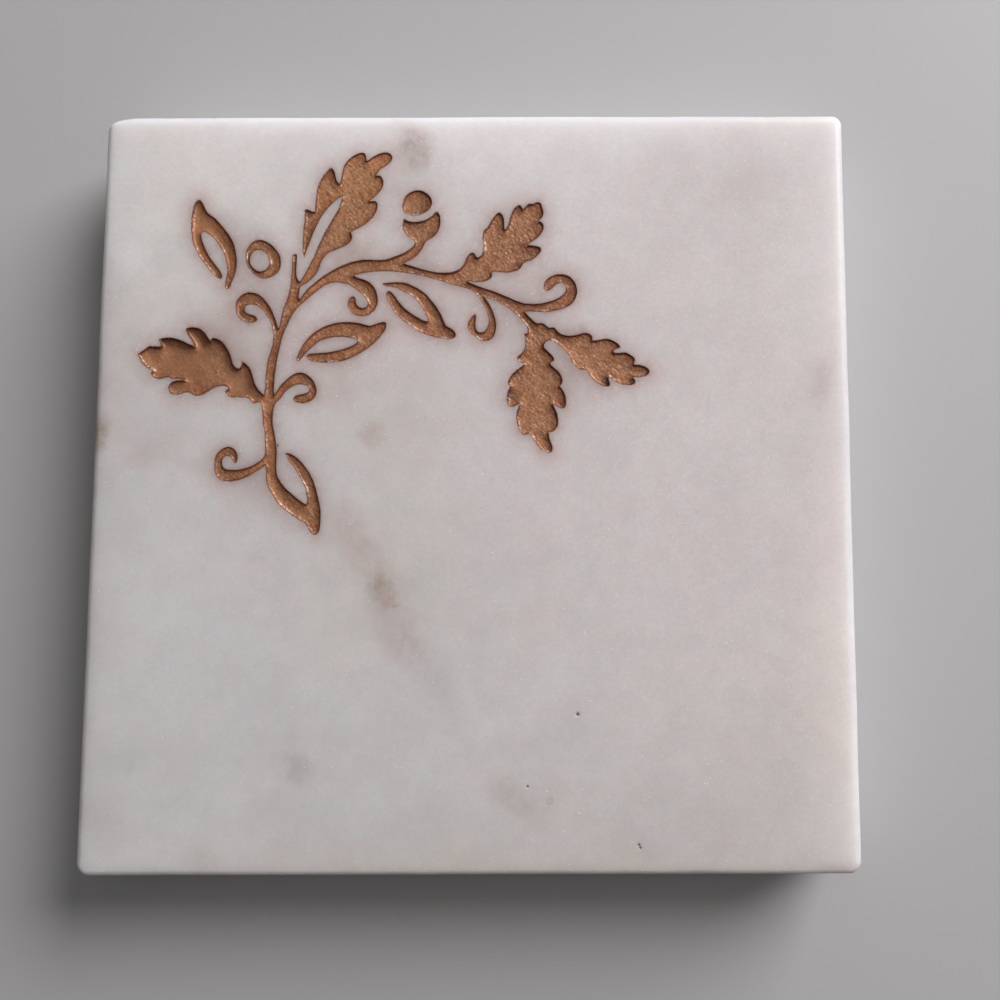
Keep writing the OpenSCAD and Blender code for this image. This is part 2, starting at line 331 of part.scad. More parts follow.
// open leaf under the branch
open_leaf_upper = [
    [[-12.65, 26.9], [-12.05, 27], [-11.45, 27.05], [-10.8, 27.1], [-10.1, 27.1], [-9.5, 27],
     [-9, 26.85], [-8.5, 26.6], [-8, 26.35], [-7.5, 26.05], [-7, 25.7], [-6.55, 25.3],
     [-6.15, 24.8], [-5.7, 24.3], [-5.3, 23.75], [-4.95, 23.2], [-4.65, 22.7],
     [-4.4, 22.15], [-4.2, 21.65]],
    [[-3.95, 21.15], [-3.65, 20.95], [-3.3, 20.75], [-2.9, 20.45], [-2.65, 20.1],
     [-2.6, 19.75], [-2.8, 19.5], [-3.2, 19.35], [-3.6, 19.3]],
    [[-4.05, 19.4], [-4.7, 19.5], [-5.3, 19.6], [-5.9, 19.75], [-6.5, 19.95], [-7.05, 20.15],
     [-7.6, 20.4], [-8.1, 20.7], [-8.6, 21.05], [-9.1, 21.4], [-9.6, 21.8], [-10.05, 22.2],
     [-10.5, 22.65], [-10.9, 23.1], [-11.2, 23.55], [-11.45, 24.05], [-11.7, 24.55],
     [-11.9, 25], [-12, 25.4], [-11.9, 25.8], [-11.65, 25.95], [-11.4, 25.8],
     [-11.1, 25.45], [-10.75, 25.05], [-10.45, 24.6], [-10.1, 24.15], [-9.7, 23.7],
     [-9.25, 23.3], [-8.8, 22.95], [-8.3, 22.6], [-7.8, 22.3], [-7.3, 22], [-6.85, 21.8]],
    [[-6.35, 21.7], [-6.45, 22.2], [-6.7, 22.75], [-6.95, 23.3], [-7.3, 23.85],
     [-7.7, 24.4], [-8.15, 24.9], [-8.6, 25.25], [-9, 25.55], [-9.45, 25.75], [-9.9, 25.95],
     [-10.3, 26.15], [-10.7, 26.35], [-11.2, 26.45], [-11.7, 26.55], [-12.2, 26.6]]
];

// ---- smoothing ----

// point of a smooth span between b and c, at t from 0 to 1, with a before and d after it
function span(a, b, c, d, t) =
    0.5 * (2 * b + (c - a) * t + (2 * a - 5 * b + 4 * c - d) * t * t
        + (3 * b - a - 3 * c + d) * t * t * t);

// smooth line through the points p, without its last point
function open_line(p) = let (n = len(p))
    [for (i = [0 : n - 2], k = [0 : outline_steps - 1])
        span(i > 0 ? p[i - 1] : 2 * p[0] - p[1], p[i], p[i + 1],
            i < n - 2 ? p[i + 2] : 2 * p[n - 1] - p[n - 2], k / outline_steps)];

// smooth closed line through the points p
function closed_line(p) = let (n = len(p))
    [for (i = [0 : n - 1], k = [0 : outline_steps - 1])
        span(p[(i + n - 1) % n], p[i], p[(i + 1) % n], p[(i + 2) % n], k / outline_steps)];

function place(p) = [ornament_scale * p[0] + ornament_x, ornament_scale * p[1] + ornament_y];

// an outline's corners and smooth runs as one closed line, at its place on the slab
function outline(runs) = [for (q = len(runs) == 1 ? closed_line(runs[0])
    : [for (k = [0 : len(runs) - 1])
        each open_line(concat(runs[k], [runs[(k + 1) % len(runs)][0]]))]) place(q)];

// upright sides of an outline, from the sunk floor up to the height h
module relief(runs, h) {
    translate([0, 0, floor_z]) linear_extrude(h) polygon(outline(runs));
}

// ring between two outlines
module ring_relief(outer, inner, h) {
    difference() {
        relief(outer, h);
        translate([0, 0, -0.5]) relief(inner, h + 1);
    }
}

// ---- pieces ----

// rectangle with rounded corners, around the origin
module soft_rectangle(w, h, r) {
    square([w - 2 * r, h], center = true);
    square([w, h - 2 * r], center = true);
    for (x = [-1, 1], y = [-1, 1])
        translate([x * (w / 2 - r), y * (h / 2 - r)]) circle(r = r, $fn = 48);
}

// plain block with upright corners of corner_r and eased edges of edge_r
module eased_block() {
    translate([0, 0, slab_z + slab_t / 2]) intersection() {
        linear_extrude(slab_t, center = true)
            soft_rectangle(slab_side, slab_side, corner_r);
        rotate([90, 0, 0]) linear_extrude(slab_side + 2, center = true)
            soft_rectangle(slab_side, slab_t, edge_r);
        rotate([90, 0, 90]) linear_extrude(slab_side + 2, center = true)
            soft_rectangle(slab_side, slab_t, edge_r);
    }
}

module marble_slab() {
    color(stone) difference() {
        eased_block();
        relief(spray, recess_depth + 1);
        relief(open_leaf_left, recess_depth + 1);
        ring_relief(berry_outer, berry_inner, recess_depth + 1);
        relief(acorn_nut, recess_depth + 1);
        relief(open_leaf_lower, recess_depth + 1);
        relief(open_leaf_upper, recess_depth + 1);
    }
}

module spray_gilding() { color(gold) relief(spray, film_t); }
module open_leaf_left_gilding() { color(gold) relief(open_leaf_left, film_t); }
module berry_ring_gilding() { color(gold) ring_relief(berry_outer, berry_inner, film_t); }
module acorn_nut_gilding() { color(gold) relief(acorn_nut, film_t); }
module open_leaf_lower_gilding() { color(gold) relief(open_leaf_lower, film_t); }
module open_leaf_upper_gilding() { color(gold) relief(open_leaf_upper, film_t); }

// round soft pad with a rounded lower edge, standing on z = 0
module pad_at(x, y) {
    r = pad_d / 2;
    color(soft) translate([x * pad_xy, y * pad_xy, 0]) rotate_extrude($fn = 64) {
        square([r - pad_edge_r, pad_h]);
        translate([0, pad_edge_r]) square([r, pad_h - pad_edge_r]);
        translate([r - pad_edge_r, pad_edge_r])
            intersection() {
                circle(r = pad_edge_r, $fn = 32);
                translate([-pad_edge_r / 2, -pad_edge_r]) square([2 * pad_edge_r, 2 * pad_edge_r]);
            }
    }
}

// adhesive disc on top of a pad
module adhesive_at(x, y) {
    color(glue) translate([x * pad_xy, y * pad_xy, pad_h])
        cylinder(d = adhesive_d, h = adhesive_t, $fn = 64);
}

marble_slab();
spray_gilding();
open_leaf_left_gilding();
berry_ring_gilding();
acorn_nut_gilding();
open_leaf_lower_gilding();
open_leaf_upper_gilding();
pad_at(-1, -1);  // pad_front_left
pad_at(1, -1);  // pad_front_right
pad_at(-1, 1);  // pad_back_left
pad_at(1, 1);  // pad_back_right
adhesive_at(-1, -1);  // adhesive_front_left
adhesive_at(1, -1);  // adhesive_front_right
adhesive_at(-1, 1);  // adhesive_back_left
adhesive_at(1, 1);  // adhesive_back_right
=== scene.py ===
import math

import bpy
import numpy as np
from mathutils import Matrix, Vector
from mathutils.geometry import delaunay_2d_cdt
from mathutils.kdtree import KDTree


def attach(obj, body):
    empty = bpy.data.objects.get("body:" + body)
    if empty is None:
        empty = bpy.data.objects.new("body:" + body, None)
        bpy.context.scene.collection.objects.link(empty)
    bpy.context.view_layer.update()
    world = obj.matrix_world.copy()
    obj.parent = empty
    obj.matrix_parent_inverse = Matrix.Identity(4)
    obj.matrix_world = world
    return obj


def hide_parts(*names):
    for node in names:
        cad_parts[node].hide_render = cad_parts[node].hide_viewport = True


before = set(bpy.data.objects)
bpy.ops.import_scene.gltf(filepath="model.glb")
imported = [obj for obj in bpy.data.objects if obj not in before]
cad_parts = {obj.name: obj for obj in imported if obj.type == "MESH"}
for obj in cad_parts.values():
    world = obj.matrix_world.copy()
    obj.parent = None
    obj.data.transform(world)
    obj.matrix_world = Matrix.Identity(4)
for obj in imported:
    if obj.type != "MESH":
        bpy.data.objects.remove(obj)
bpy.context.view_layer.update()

# All lengths below are in millimetres, in the frame of the part. Meshes are scaled to metres when they are made.
MM = 0.001
TOP = 12.0        # the stone's top face
BASE = 2.0        # its underside
HALF = 49.985     # half of its side
EDGE = 1.2        # radius of the eased edges
GILDINGS = ["spray_gilding", "open_leaf_left_gilding", "berry_ring_gilding",
            "acorn_nut_gilding", "open_leaf_lower_gilding", "open_leaf_upper_gilding"]


# ---------------------------------------------------------------- noise

def lattice(ix, iy, seed):
    h = (ix.astype(np.int64) * 374761393 + iy.astype(np.int64) * 668265263 + seed * 974711) & 0xFFFFFFFF
    h = ((h ^ (h >> 13)) * 1274126177) & 0xFFFFFFFF
    h = h ^ (h >> 16)
    return (h & 0xFFFFFF) / float(0xFFFFFF)


def noise(x, y, seed=0):
    """Smooth noise from -1 to 1, one cell per unit."""
    x0, y0 = np.floor(x), np.floor(y)
    u, v = x - x0, y - y0
    u = u * u * u * (u * (6 * u - 15) + 10)
    v = v * v * v * (v * (6 * v - 15) + 10)
    a, b = lattice(x0, y0, seed), lattice(x0 + 1, y0, seed)
    c, d = lattice(x0, y0 + 1, seed), lattice(x0 + 1, y0 + 1, seed)
    return 2 * ((a * (1 - u) + b * u) * (1 - v) + (c * (1 - u) + d * u) * v) - 1


def cloud(x, y, size, seed=0, octaves=3, gain=0.5):
    """Several layers of noise, the largest of them size across."""
    total, weight, out = 0.0, 1.0, 0.0
    for k in range(octaves):
        s = size / 2 ** k
        a = 0.6 + 1.1 * k
        out = out + weight * noise((x * math.cos(a) - y * math.sin(a)) / s, (x * math.sin(a) + y * math.cos(a)) / s, seed + 17 * k)
        total += weight
        weight *= gain
    return out / total


def ease(t):
    t = np.clip(t, 0, 1)
    return t * t * (3 - 2 * t)


# ---------------------------------------------------------------- outlines of the sunk ornament

def cap_loops(name):
    """The closed outlines of a film's upper face, with the film on the left of each."""
    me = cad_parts[name].data
    co = np.empty(len(me.vertices) * 3, np.float32)
    me.vertices.foreach_get("co", co)
    co = co.reshape(-1, 3).astype(float) / MM
    key, ident = {}, []
    for p in co:
        ident.append(key.setdefault((round(p[0], 4), round(p[1], 4), round(p[2], 4)), len(key)))
    pts = np.zeros((len(key), 3))
    for i, p in zip(ident, co):
        pts[i] = p
    top = pts[:, 2].max()
    half = set()
    for f in me.polygons:
        v = [ident[i] for i in f.vertices]
        if all(abs(pts[i, 2] - top) < 1e-3 for i in v):
            half.update(zip(v, v[1:] + v[:1]))
    after = {a: b for a, b in sorted(half) if (b, a) not in half}
    loops = []
    while after:
        a = min(after)
        loop = []
        while a in after:
            loop.append(a)
            a = after.pop(a)
        loops.append(pts[loop][:, :2])
    return sorted(loops, key=lambda l: -len(l))


def even(p, step):
    """A closed line with points step apart."""
    q = np.vstack([p, p[:1]])
    s = np.r_[0, np.cumsum(np.hypot(*np.diff(q, axis=0).T))]
    n = max(12, int(round(s[-1] / step)))
    t = np.arange(n) * s[-1] / n
    return np.c_[np.interp(t, s, q[:, 0]), np.interp(t, s, q[:, 1])]


def through(p, closed):
    """A fine smooth line through points p."""
    if closed:
        a = np.vstack([p[-1:], p, p[:2]])
    else:
        a = np.vstack([2 * p[0] - p[1], p, 2 * p[-1] - p[-2]])
    out = []
    for i in range(1, len(a) - 2):
        t = np.linspace(0, 1, 8, endpoint=False)[:, None]
        p0, p1, p2, p3 = a[i - 1:i + 3]
        out.append(0.5 * (2 * p1 + (p2 - p0) * t + (2 * p0 - 5 * p1 + 4 * p2 - p3) * t ** 2 + (3 * p1 - p0 - 3 * p2 + p3) * t ** 3))
    if not closed:
        out.append(p[-1:])
    return np.vstack(out)


def soften(p, rounds):
    for _ in range(rounds):
        p = 0.5 * p + 0.25 * (np.roll(p, 1, 0) + np.roll(p, -1, 0))
    return p


def sides(p):
    """Unit vectors at the points of a closed line, to its left."""
    d = np.roll(p, -1, 0) - np.roll(p, 1, 0)
    d /= np.maximum(np.hypot(*d.T), 1e-9)[:, None]
    return np.c_[-d[:, 1], d[:, 0]]


STEP = 0.11


def blasted(p):
    """A stencil outline as the blast leaves it: corners worn round, and a slightly ragged edge, more so on the lower left."""
    d = np.roll(p, -1, 0) - p
    a = np.arctan2(d[:, 1], d[:, 0])
    turn = np.abs((a - np.roll(a, 1) + np.pi) % (2 * np.pi) - np.pi)
    corners = np.where(turn > math.radians(38))[0]
    if len(corners) == 0:
        fine = through(p, True)
    else:
        p = np.roll(p, -corners[0], 0)
        corners = np.r_[corners - corners[0], len(p)]
        p = np.vstack([p, p[:1]])
        runs = []
        for i, j in zip(corners[:-1], corners[1:]):
            run = p[i:j + 1]
            runs.append((through(run, False) if len(run) > 2 else run)[:-1])
        fine = np.vstack(runs)
    q = soften(even(fine, STEP), 2)
    inward = sides(q)
    facing = np.clip(inward @ np.array([0.7, 0.72]), 0, 1)      # 1 on the lower left, where the light lands on the wall
    amount = 0.016 + 0.030 * facing
    q = q + inward * (amount * cloud(q[:, 0], q[:, 1], 0.55, 5, 2, 0.7))[:, None]
    return even(q, STEP)


class Rim:
    """All outlines together, with the distance from any point to them."""

    def __init__(self):
        self.loops = []
        for k, name in enumerate(GILDINGS):
            for loop in cap_loops(name):
                self.loops.append((k, blasted(loop)))
        self.p = np.vstack([l for _, l in self.loops])
        self.node = np.concatenate([[k] * len(l) for k, l in self.loops])
        self.inward = np.vstack([sides(l) for _, l in self.loops])
        self.after, self.before, at = np.zeros(len(self.p), int), np.zeros(len(self.p), int), 0
        self.spans = []
        for _, l in self.loops:
            i = np.arange(len(l))
            self.after[at:at + len(l)] = at + (i + 1) % len(l)
            self.before[at:at + len(l)] = at + (i - 1) % len(l)
            self.spans.append((at, at + len(l)))
            at += len(l)
        self.tree = KDTree(len(self.p))
        for i, (x, y) in enumerate(self.p):
            self.tree.insert((x, y, 0), i)
        self.tree.balance()

    def distance(self, q):
        near = np.array([self.tree.find((x, y, 0))[1] for x, y in q], int)
        return np.minimum(self.to_edge(q, near, self.after[near]), self.to_edge(q, near, self.before[near])), near

    def to_edge(self, q, i, j):
        a, b = self.p[i], self.p[j]
        d = b - a
        t = np.clip(((q - a) * d).sum(1) / np.maximum((d * d).sum(1), 1e-12), 0, 1)
        return np.hypot(*(a + d * t[:, None] - q).T)

    def inside(self, q, node=None):
        """Which points lie in the ornament. Points with the same y are tested together."""
        i = np.arange(len(self.p)) if node is None else np.where(self.node == node)[0]
        x0, y0 = self.p[i].T
        x1, y1 = self.p[self.after[i]].T
        out = np.zeros(len(q), bool)
        order = np.argsort(q[:, 1], kind="stable")
        ys, starts = np.unique(q[order, 1], return_index=True)
        for y, rows in zip(ys, np.split(order, starts[1:])):
            m = (y0 <= y) != (y1 <= y)
            xs = np.sort(x0[m] + (y - y0[m]) * (x1[m] - x0[m]) / (y1[m] - y0[m]))
            out[rows] = np.searchsorted(xs, q[rows, 0]) % 2 == 1
        return out


class Sieve:
    """Keeps points that lie at least r from those kept before."""

    def __init__(self, cell=0.5):
        self.cell, self.grid = cell, {}

    def room(self, x, y, r):
        c = self.cell
        n = int(math.ceil(r / c))
        i, j = int(math.floor(x / c)), int(math.floor(y / c))
        for a in range(i - n, i + n + 1):
            for b in range(j - n, j + n + 1):
                for u, v in self.grid.get((a, b), ()):
                    if (u - x) ** 2 + (v - y) ** 2 < r * r:
                        return False
        return True

    def put(self, x, y):
        self.grid.setdefault((int(math.floor(x / self.cell)), int(math.floor(y / self.cell))), []).append((x, y))

    def keep(self, q, r):
        out = []
        for i, (x, y) in enumerate(q):
            if self.room(x, y, r):
                self.put(x, y)
                out.append(i)
        return q[out] if len(out) else q[:0]


def hexes(lo, hi, step):
    rows = np.arange(lo[1], hi[1], step * 0.866)
    xs = np.arange(lo[0], hi[0], step)
    x = np.concatenate([xs + (step / 2 if k % 2 else 0) for k in range(len(rows))])
    return np.c_[x, np.repeat(rows, len(xs))]


def triangles(points, edges):
    verts, _, faces, where, _, _ = delaunay_2d_cdt([Vector((float(x), float(y))) for x, y in points], [(int(a), int(b)) for a, b in edges], [], 0, 1e-9)
    if len(verts) != len(points):
        raise RuntimeError(f"outline crosses itself: {len(points)} points in, {len(verts)} out")
    # Vertices may come back in another order.
    back = np.array([w[0] for w in where], int)
    f = back[np.array([list(t) for t in faces], int)]
    a, b, c = points[f[:, 0]], points[f[:, 1]], points[f[:, 2]]
    area = (b[:, 0] - a[:, 0]) * (c[:, 1] - a[:, 1]) - (b[:, 1] - a[:, 1]) * (c[:, 0] - a[:, 0])
    f[area < 0] = f[area < 0][:, ::-1]
    return f[np.abs(area) > 1e-9]


# ---------------------------------------------------------------- depth of the recess

# Where the blast went deeper or less deep: x, y, radius, change of depth.
DEPTHS = [
    (-41.0, 18.2, 3.2, 0.26), (-36.0, 19.0, 2.8, 0.30), (-31.8, 15.8, 2.6, 0.22), (-38.5, 14.0, 4.0, 0.10), (-29.0, 12.6, 2.0, 0.10),
    (-38.3, 36.0, 2.2, 0.18), (-34.0, 31.2, 2.6, 0.14),
    (4.9, 11.2, 1.1, 0.22), (5.4, 14.4, 1.2, 0.16), (17.6, 13.4, 0.9, 0.20), (8.8, 12.0, 4.0, 0.06), (5.3, 37.0, 1.6, 0.12),
    (-18.0, 19.0, 4.5, -0.05), (-14.5, 42.5, 3.0, -0.05),
]


def extra_depth(x, y):
    d = np.zeros_like(x)
    for cx, cy, r, more in DEPTHS:
        d = d + more * np.exp(-((x - cx) ** 2 + (y - cy) ** 2) / (r * r))
    return d


def floor_depth(x, y):
    return 0.40 + 0.04 * cloud(x, y, 6.0, 31, 2) + 0.03 * cloud(x, y, 2.2, 33, 2) + extra_depth(x, y)


def lip(x, y):
    """How far the rim itself lies below the top face."""
    return 0.012 + 0.007 * cloud(x, y, 0.9, 41, 2)


def facing(near):
    """1 where the wall at these rim points faces the upper right, -1 where it faces the lower left."""
    return rim.inward[near] @ np.array([0.70, 0.71])


def recess(s, x, y, near):
    """Depth below the top face, s inside the rim: a steep wall on the lower left, and a low step and a slope like a bowl's on the upper right."""
    w = 0.25 + 0.5 * np.clip(extra_depth(x, y), 0, 0.35) + 0.05 * cloud(x, y, 1.6, 43, 2)
    t = np.clip(s / w, 0, 1)
    steep = 0.70 * (1 - (1 - t) ** 2.0) + 0.30 * (1 - np.exp(-s / 0.42))
    reach = np.maximum(0.56 + 0.26 * cloud(x, y, 2.6, 47, 2) + 0.4 * np.clip(extra_depth(x, y), 0, 0.3), 0.28)
    bowl = 0.40 * (1 - (1 - np.clip(s / 0.22, 0, 1)) ** 2) + 0.60 * (1 - np.exp(-s / reach))
    k = ease((0.35 - facing(near)) / 0.8)
    return lip(x, y) + (floor_depth(x, y) - lip(x, y)) * (steep + (bowl - steep) * k)


# Where paint has pooled smooth: x, y, radius.
POOLS = [(-38.0, 16.0, 6.5), (-31.0, 13.0, 3.5), (-36.0, 35.0, 3.0), (-9.6, 38.2, 1.5)]


def pooled(x, y):
    pool = np.zeros_like(x)
    for cx, cy, r in POOLS:
        pool = np.maximum(pool, np.exp(-((x - cx) ** 2 + (y - cy) ** 2) / (r * r)))
    return pool


def relief(s, x, y):
    """Blast grain and brush marks on the painted floor."""
    pool = pooled(x, y)
    u, v = (x - y) * 0.7071, (x + y) * 0.7071
    fine = 0.60 * noise(u / 0.31, v / 0.24, 51) + 0.40 * noise(u / 0.24 + 9, v / 0.20, 53)
    wide = 0.6 * noise(u / 1.3, v / 0.7, 55) + 0.4 * noise(x / 0.6, y / 0.6, 57)
    ragged = ease((s - 0.03) / 0.2)
    return ragged * ((0.031 - 0.023 * pool) * fine + (0.023 - 0.011 * pool) * wide)


# Droplets and specks of paint: x, y, radius, height.
DROPS = [(-40.1, 13.8, 0.42, 0.12), (-36.6, 12.2, 0.22, 0.05), (-34.0, 14.8, 0.20, 0.05), (-38.4, 16.4, 0.16, 0.04),
         (-19.6, 39.0, 0.30, 0.06), (-13.4, 37.4, 0.22, 0.05), (8.8, 9.4, 0.25, 0.05), (-9.0, 38.9, 0.15, 0.05)]


def drops(x, y):
    z = np.zeros_like(x)
    for cx, cy, r, h in DROPS:
        z = z + h * np.exp(-(((x - cx) ** 2 + (y - cy) ** 2) / (r * r)) ** 1.5)
    return z


# ---------------------------------------------------------------- meshes

def make(name, verts, faces, material, body="root", smooth=True):
    me = bpy.data.meshes.new(name)
    v = np.asarray(verts, float) * MM
    if isinstance(faces, np.ndarray):
        f = faces.astype(np.int32)
        me.vertices.add(len(v))
        me.vertices.foreach_set("co", v.astype(np.float32).ravel())
        me.loops.add(f.size)
        me.loops.foreach_set("vertex_index", f.ravel())
        me.polygons.add(len(f))
        me.polygons.foreach_set("loop_start", np.arange(0, f.size, f.shape[1], dtype=np.int32))
        me.update(calc_edges=True)
    else:
        me.from_pydata([tuple(p) for p in v], [], [tuple(int(i) for i in f) for f in faces])
    me.validate()
    me.shade_smooth() if smooth else me.shade_flat()
    ob = bpy.data.objects.new(name, me)
    bpy.context.scene.collection.objects.link(ob)
    me.materials.append(material)
    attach(ob, body)
    return ob


def number(ob, name, values):
    a = ob.data.attributes.new(name, "FLOAT", "POINT")
    a.data.foreach_set("value", np.asarray(values, np.float32))


def uv_map(ob, uv):
    """uv has one pair for each corner of each face."""
    layer = ob.data.uv_layers.new(name="OFBake")
    layer.data.foreach_set("uv", np.asarray(uv, np.float32).ravel())


rim = Rim()
rng = np.random.default_rng(7)


def smooth_heights(z, faces, free, rounds):
    a = np.concatenate([faces[:, 0], faces[:, 1], faces[:, 2], faces[:, 1], faces[:, 2], faces[:, 0]])
    b = np.concatenate([faces[:, 1], faces[:, 2], faces[:, 0], faces[:, 0], faces[:, 1], faces[:, 2]])
    n = np.bincount(a, minlength=len(z)).astype(float)
    for _ in range(rounds):
        mean = np.bincount(a, z[b], minlength=len(z)) / np.maximum(n, 1)
        z = np.where(free, 0.5 * z + 0.5 * mean, z)
    return z


def ring(i, s, spacing, sieve, keep_if):
    """Points s inside (or, below 0, outside) the rim points i, where nothing nearer is in the way."""
    q = rim.p[i] + rim.inward[i] * s
    d, near = rim.distance(q)
    ok = (d > abs(s) * 0.93) & keep_if(near)
    return sieve.keep(q[ok], spacing)


def film_top(k):
    """Fine points and faces of one film's upper face. The first points are its rim."""
    i = np.where(rim.node == k)[0]
    rim_points = rim.p[i]
    sieve = Sieve(0.12)
    for x, y in rim_points:
        sieve.put(x, y)
    parts = [rim_points]
    for s, spacing in ((0.045, 0.042), (0.10, 0.052), (0.17, 0.064), (0.25, 0.074), (0.34, 0.082), (0.44, 0.090)):
        q = rim.p[i] + rim.inward[i] * s
        d, near = rim.distance(q)
        ok = (d > s * 0.93) & (rim.node[near] == k)
        parts.append(sieve.keep(q[ok], spacing))
    lo, hi = rim_points.min(0), rim_points.max(0)
    g = hexes(lo, hi, 0.135)
    g = g[rim.inside(g, k)]
    d, near = rim.distance(g)
    g = g[d > 0.04]
    g = g + rng.uniform(-0.014, 0.014, g.shape)
    parts.append(sieve.keep(g, 0.095))
    p = np.vstack(parts)
    index = {int(a): n for n, a in enumerate(i)}
    edges = [(index[int(a)], index[int(rim.after[a])]) for a in i]
    f = triangles(p, edges)
    n = len(i)
    on_rim = (f < n).all(1)
    centre = p[f[on_rim]].mean(1)
    good = np.ones(len(f), bool)
    good[on_rim] = rim.inside(centre, k)
    # Outside the outline there are only rim points, so every face with another point is inside.
    return i, p, f[good]


def stone_points():
    """Points of the stone's upper face, coarse under the films, and what each is: 0 on a rim, k + 1 in recess k, -1 outside."""
    sieve = Sieve(0.5)
    for x, y in rim.p:
        sieve.put(x, y)
    parts, labels = [rim.p], [np.zeros(len(rim.p), int)]
    every = np.arange(len(rim.p))
    for s, spacing, pick in ((0.10, 0.10, 1), (0.22, 0.16, 2), (0.40, 0.2, 2)):
        i = every[::pick]
        q = rim.p[i] + rim.inward[i] * s
        d, near = rim.distance(q)
        ok = (d > s * 0.93) & (rim.node[near] == rim.node[i])
        q, node = q[ok], rim.node[i][ok]
        kept = [m for m, (x, y) in enumerate(q) if sieve.room(x, y, spacing) and (sieve.put(x, y) or True)]
        parts.append(q[kept])
        labels.append(node[kept] + 1)
    g = hexes(rim.p.min(0), rim.p.max(0), 0.55)
    for k in range(len(GILDINGS)):
        mine = g[rim.inside(g, k)]
        d, near = rim.distance(mine)
        mine = sieve.keep(mine[d > 0.45], 0.3)
        parts.append(mine)
        labels.append(np.full(len(mine), k + 1))
    for s, spacing, pick in ((0.055, 0.05, 1), (0.13, 0.07, 1), (0.24, 0.11, 1), (0.42, 0.2, 2), (0.75, 0.34, 3)):
        i = every[::pick]
        q = rim.p[i] - rim.inward[i] * s
        d, near = rim.distance(q)
        q = sieve.keep(q[d > s * 0.93], spacing)
        parts.append(q)
        labels.append(np.full(len(q), -1))
    return parts, labels, sieve


# Small pits in the stone's face: x, y, radius, depth.
PITS = [(13.8, -30.0, 0.24, 0.16), (7.4, -39.0, 0.17, 0.10), (21.55, -46.25, 0.19, 0.12), (21.7, -46.6, 0.19, 0.12),
        (-25.6, 4.8, 0.20, 0.08), (10.3, -40.8, 0.11, 0.03)]


def pits(x, y):
    z = np.zeros_like(x)
    for cx, cy, r, h in PITS:
        z = z + h * np.exp(-(((x - cx) ** 2 + (y - cy) ** 2) / (r * r)) ** 2)
    return z


# The radius of each corner of the slab's plan: front right, back right, back left, front left.
CORNERS = [1.75, 1.45, 1.7, 1.9]


def plan(inset):
    """The slab's plan outline, anticlockwise from the middle of the front side, moved inwards by inset: points and outward normals."""
    h = HALF - inset
    radii = [max(r - inset, 0.42) for r in CORNERS]
    p, n = [], []
    for c in range(4):
        a0 = -math.pi / 2 + c * math.pi / 2
        out = np.array([math.cos(a0), math.sin(a0)])
        along = np.array([-out[1], out[0]])
        r0, r1 = radii[c - 1], radii[c]
        for t in np.linspace(0, 1, 176, endpoint=False):
            p.append(out * h + along * (-h + r0 + (2 * h - r0 - r1) * t))
            n.append(out)
        centre = out * (h - r1) + along * (h - r1)
        for a in a0 + np.arange(10) / 10 * math.pi / 2:
            n.append(np.array([math.cos(a), math.sin(a)]))
            p.append(centre + r1 * n[-1])
    return np.array(p), np.array(n)


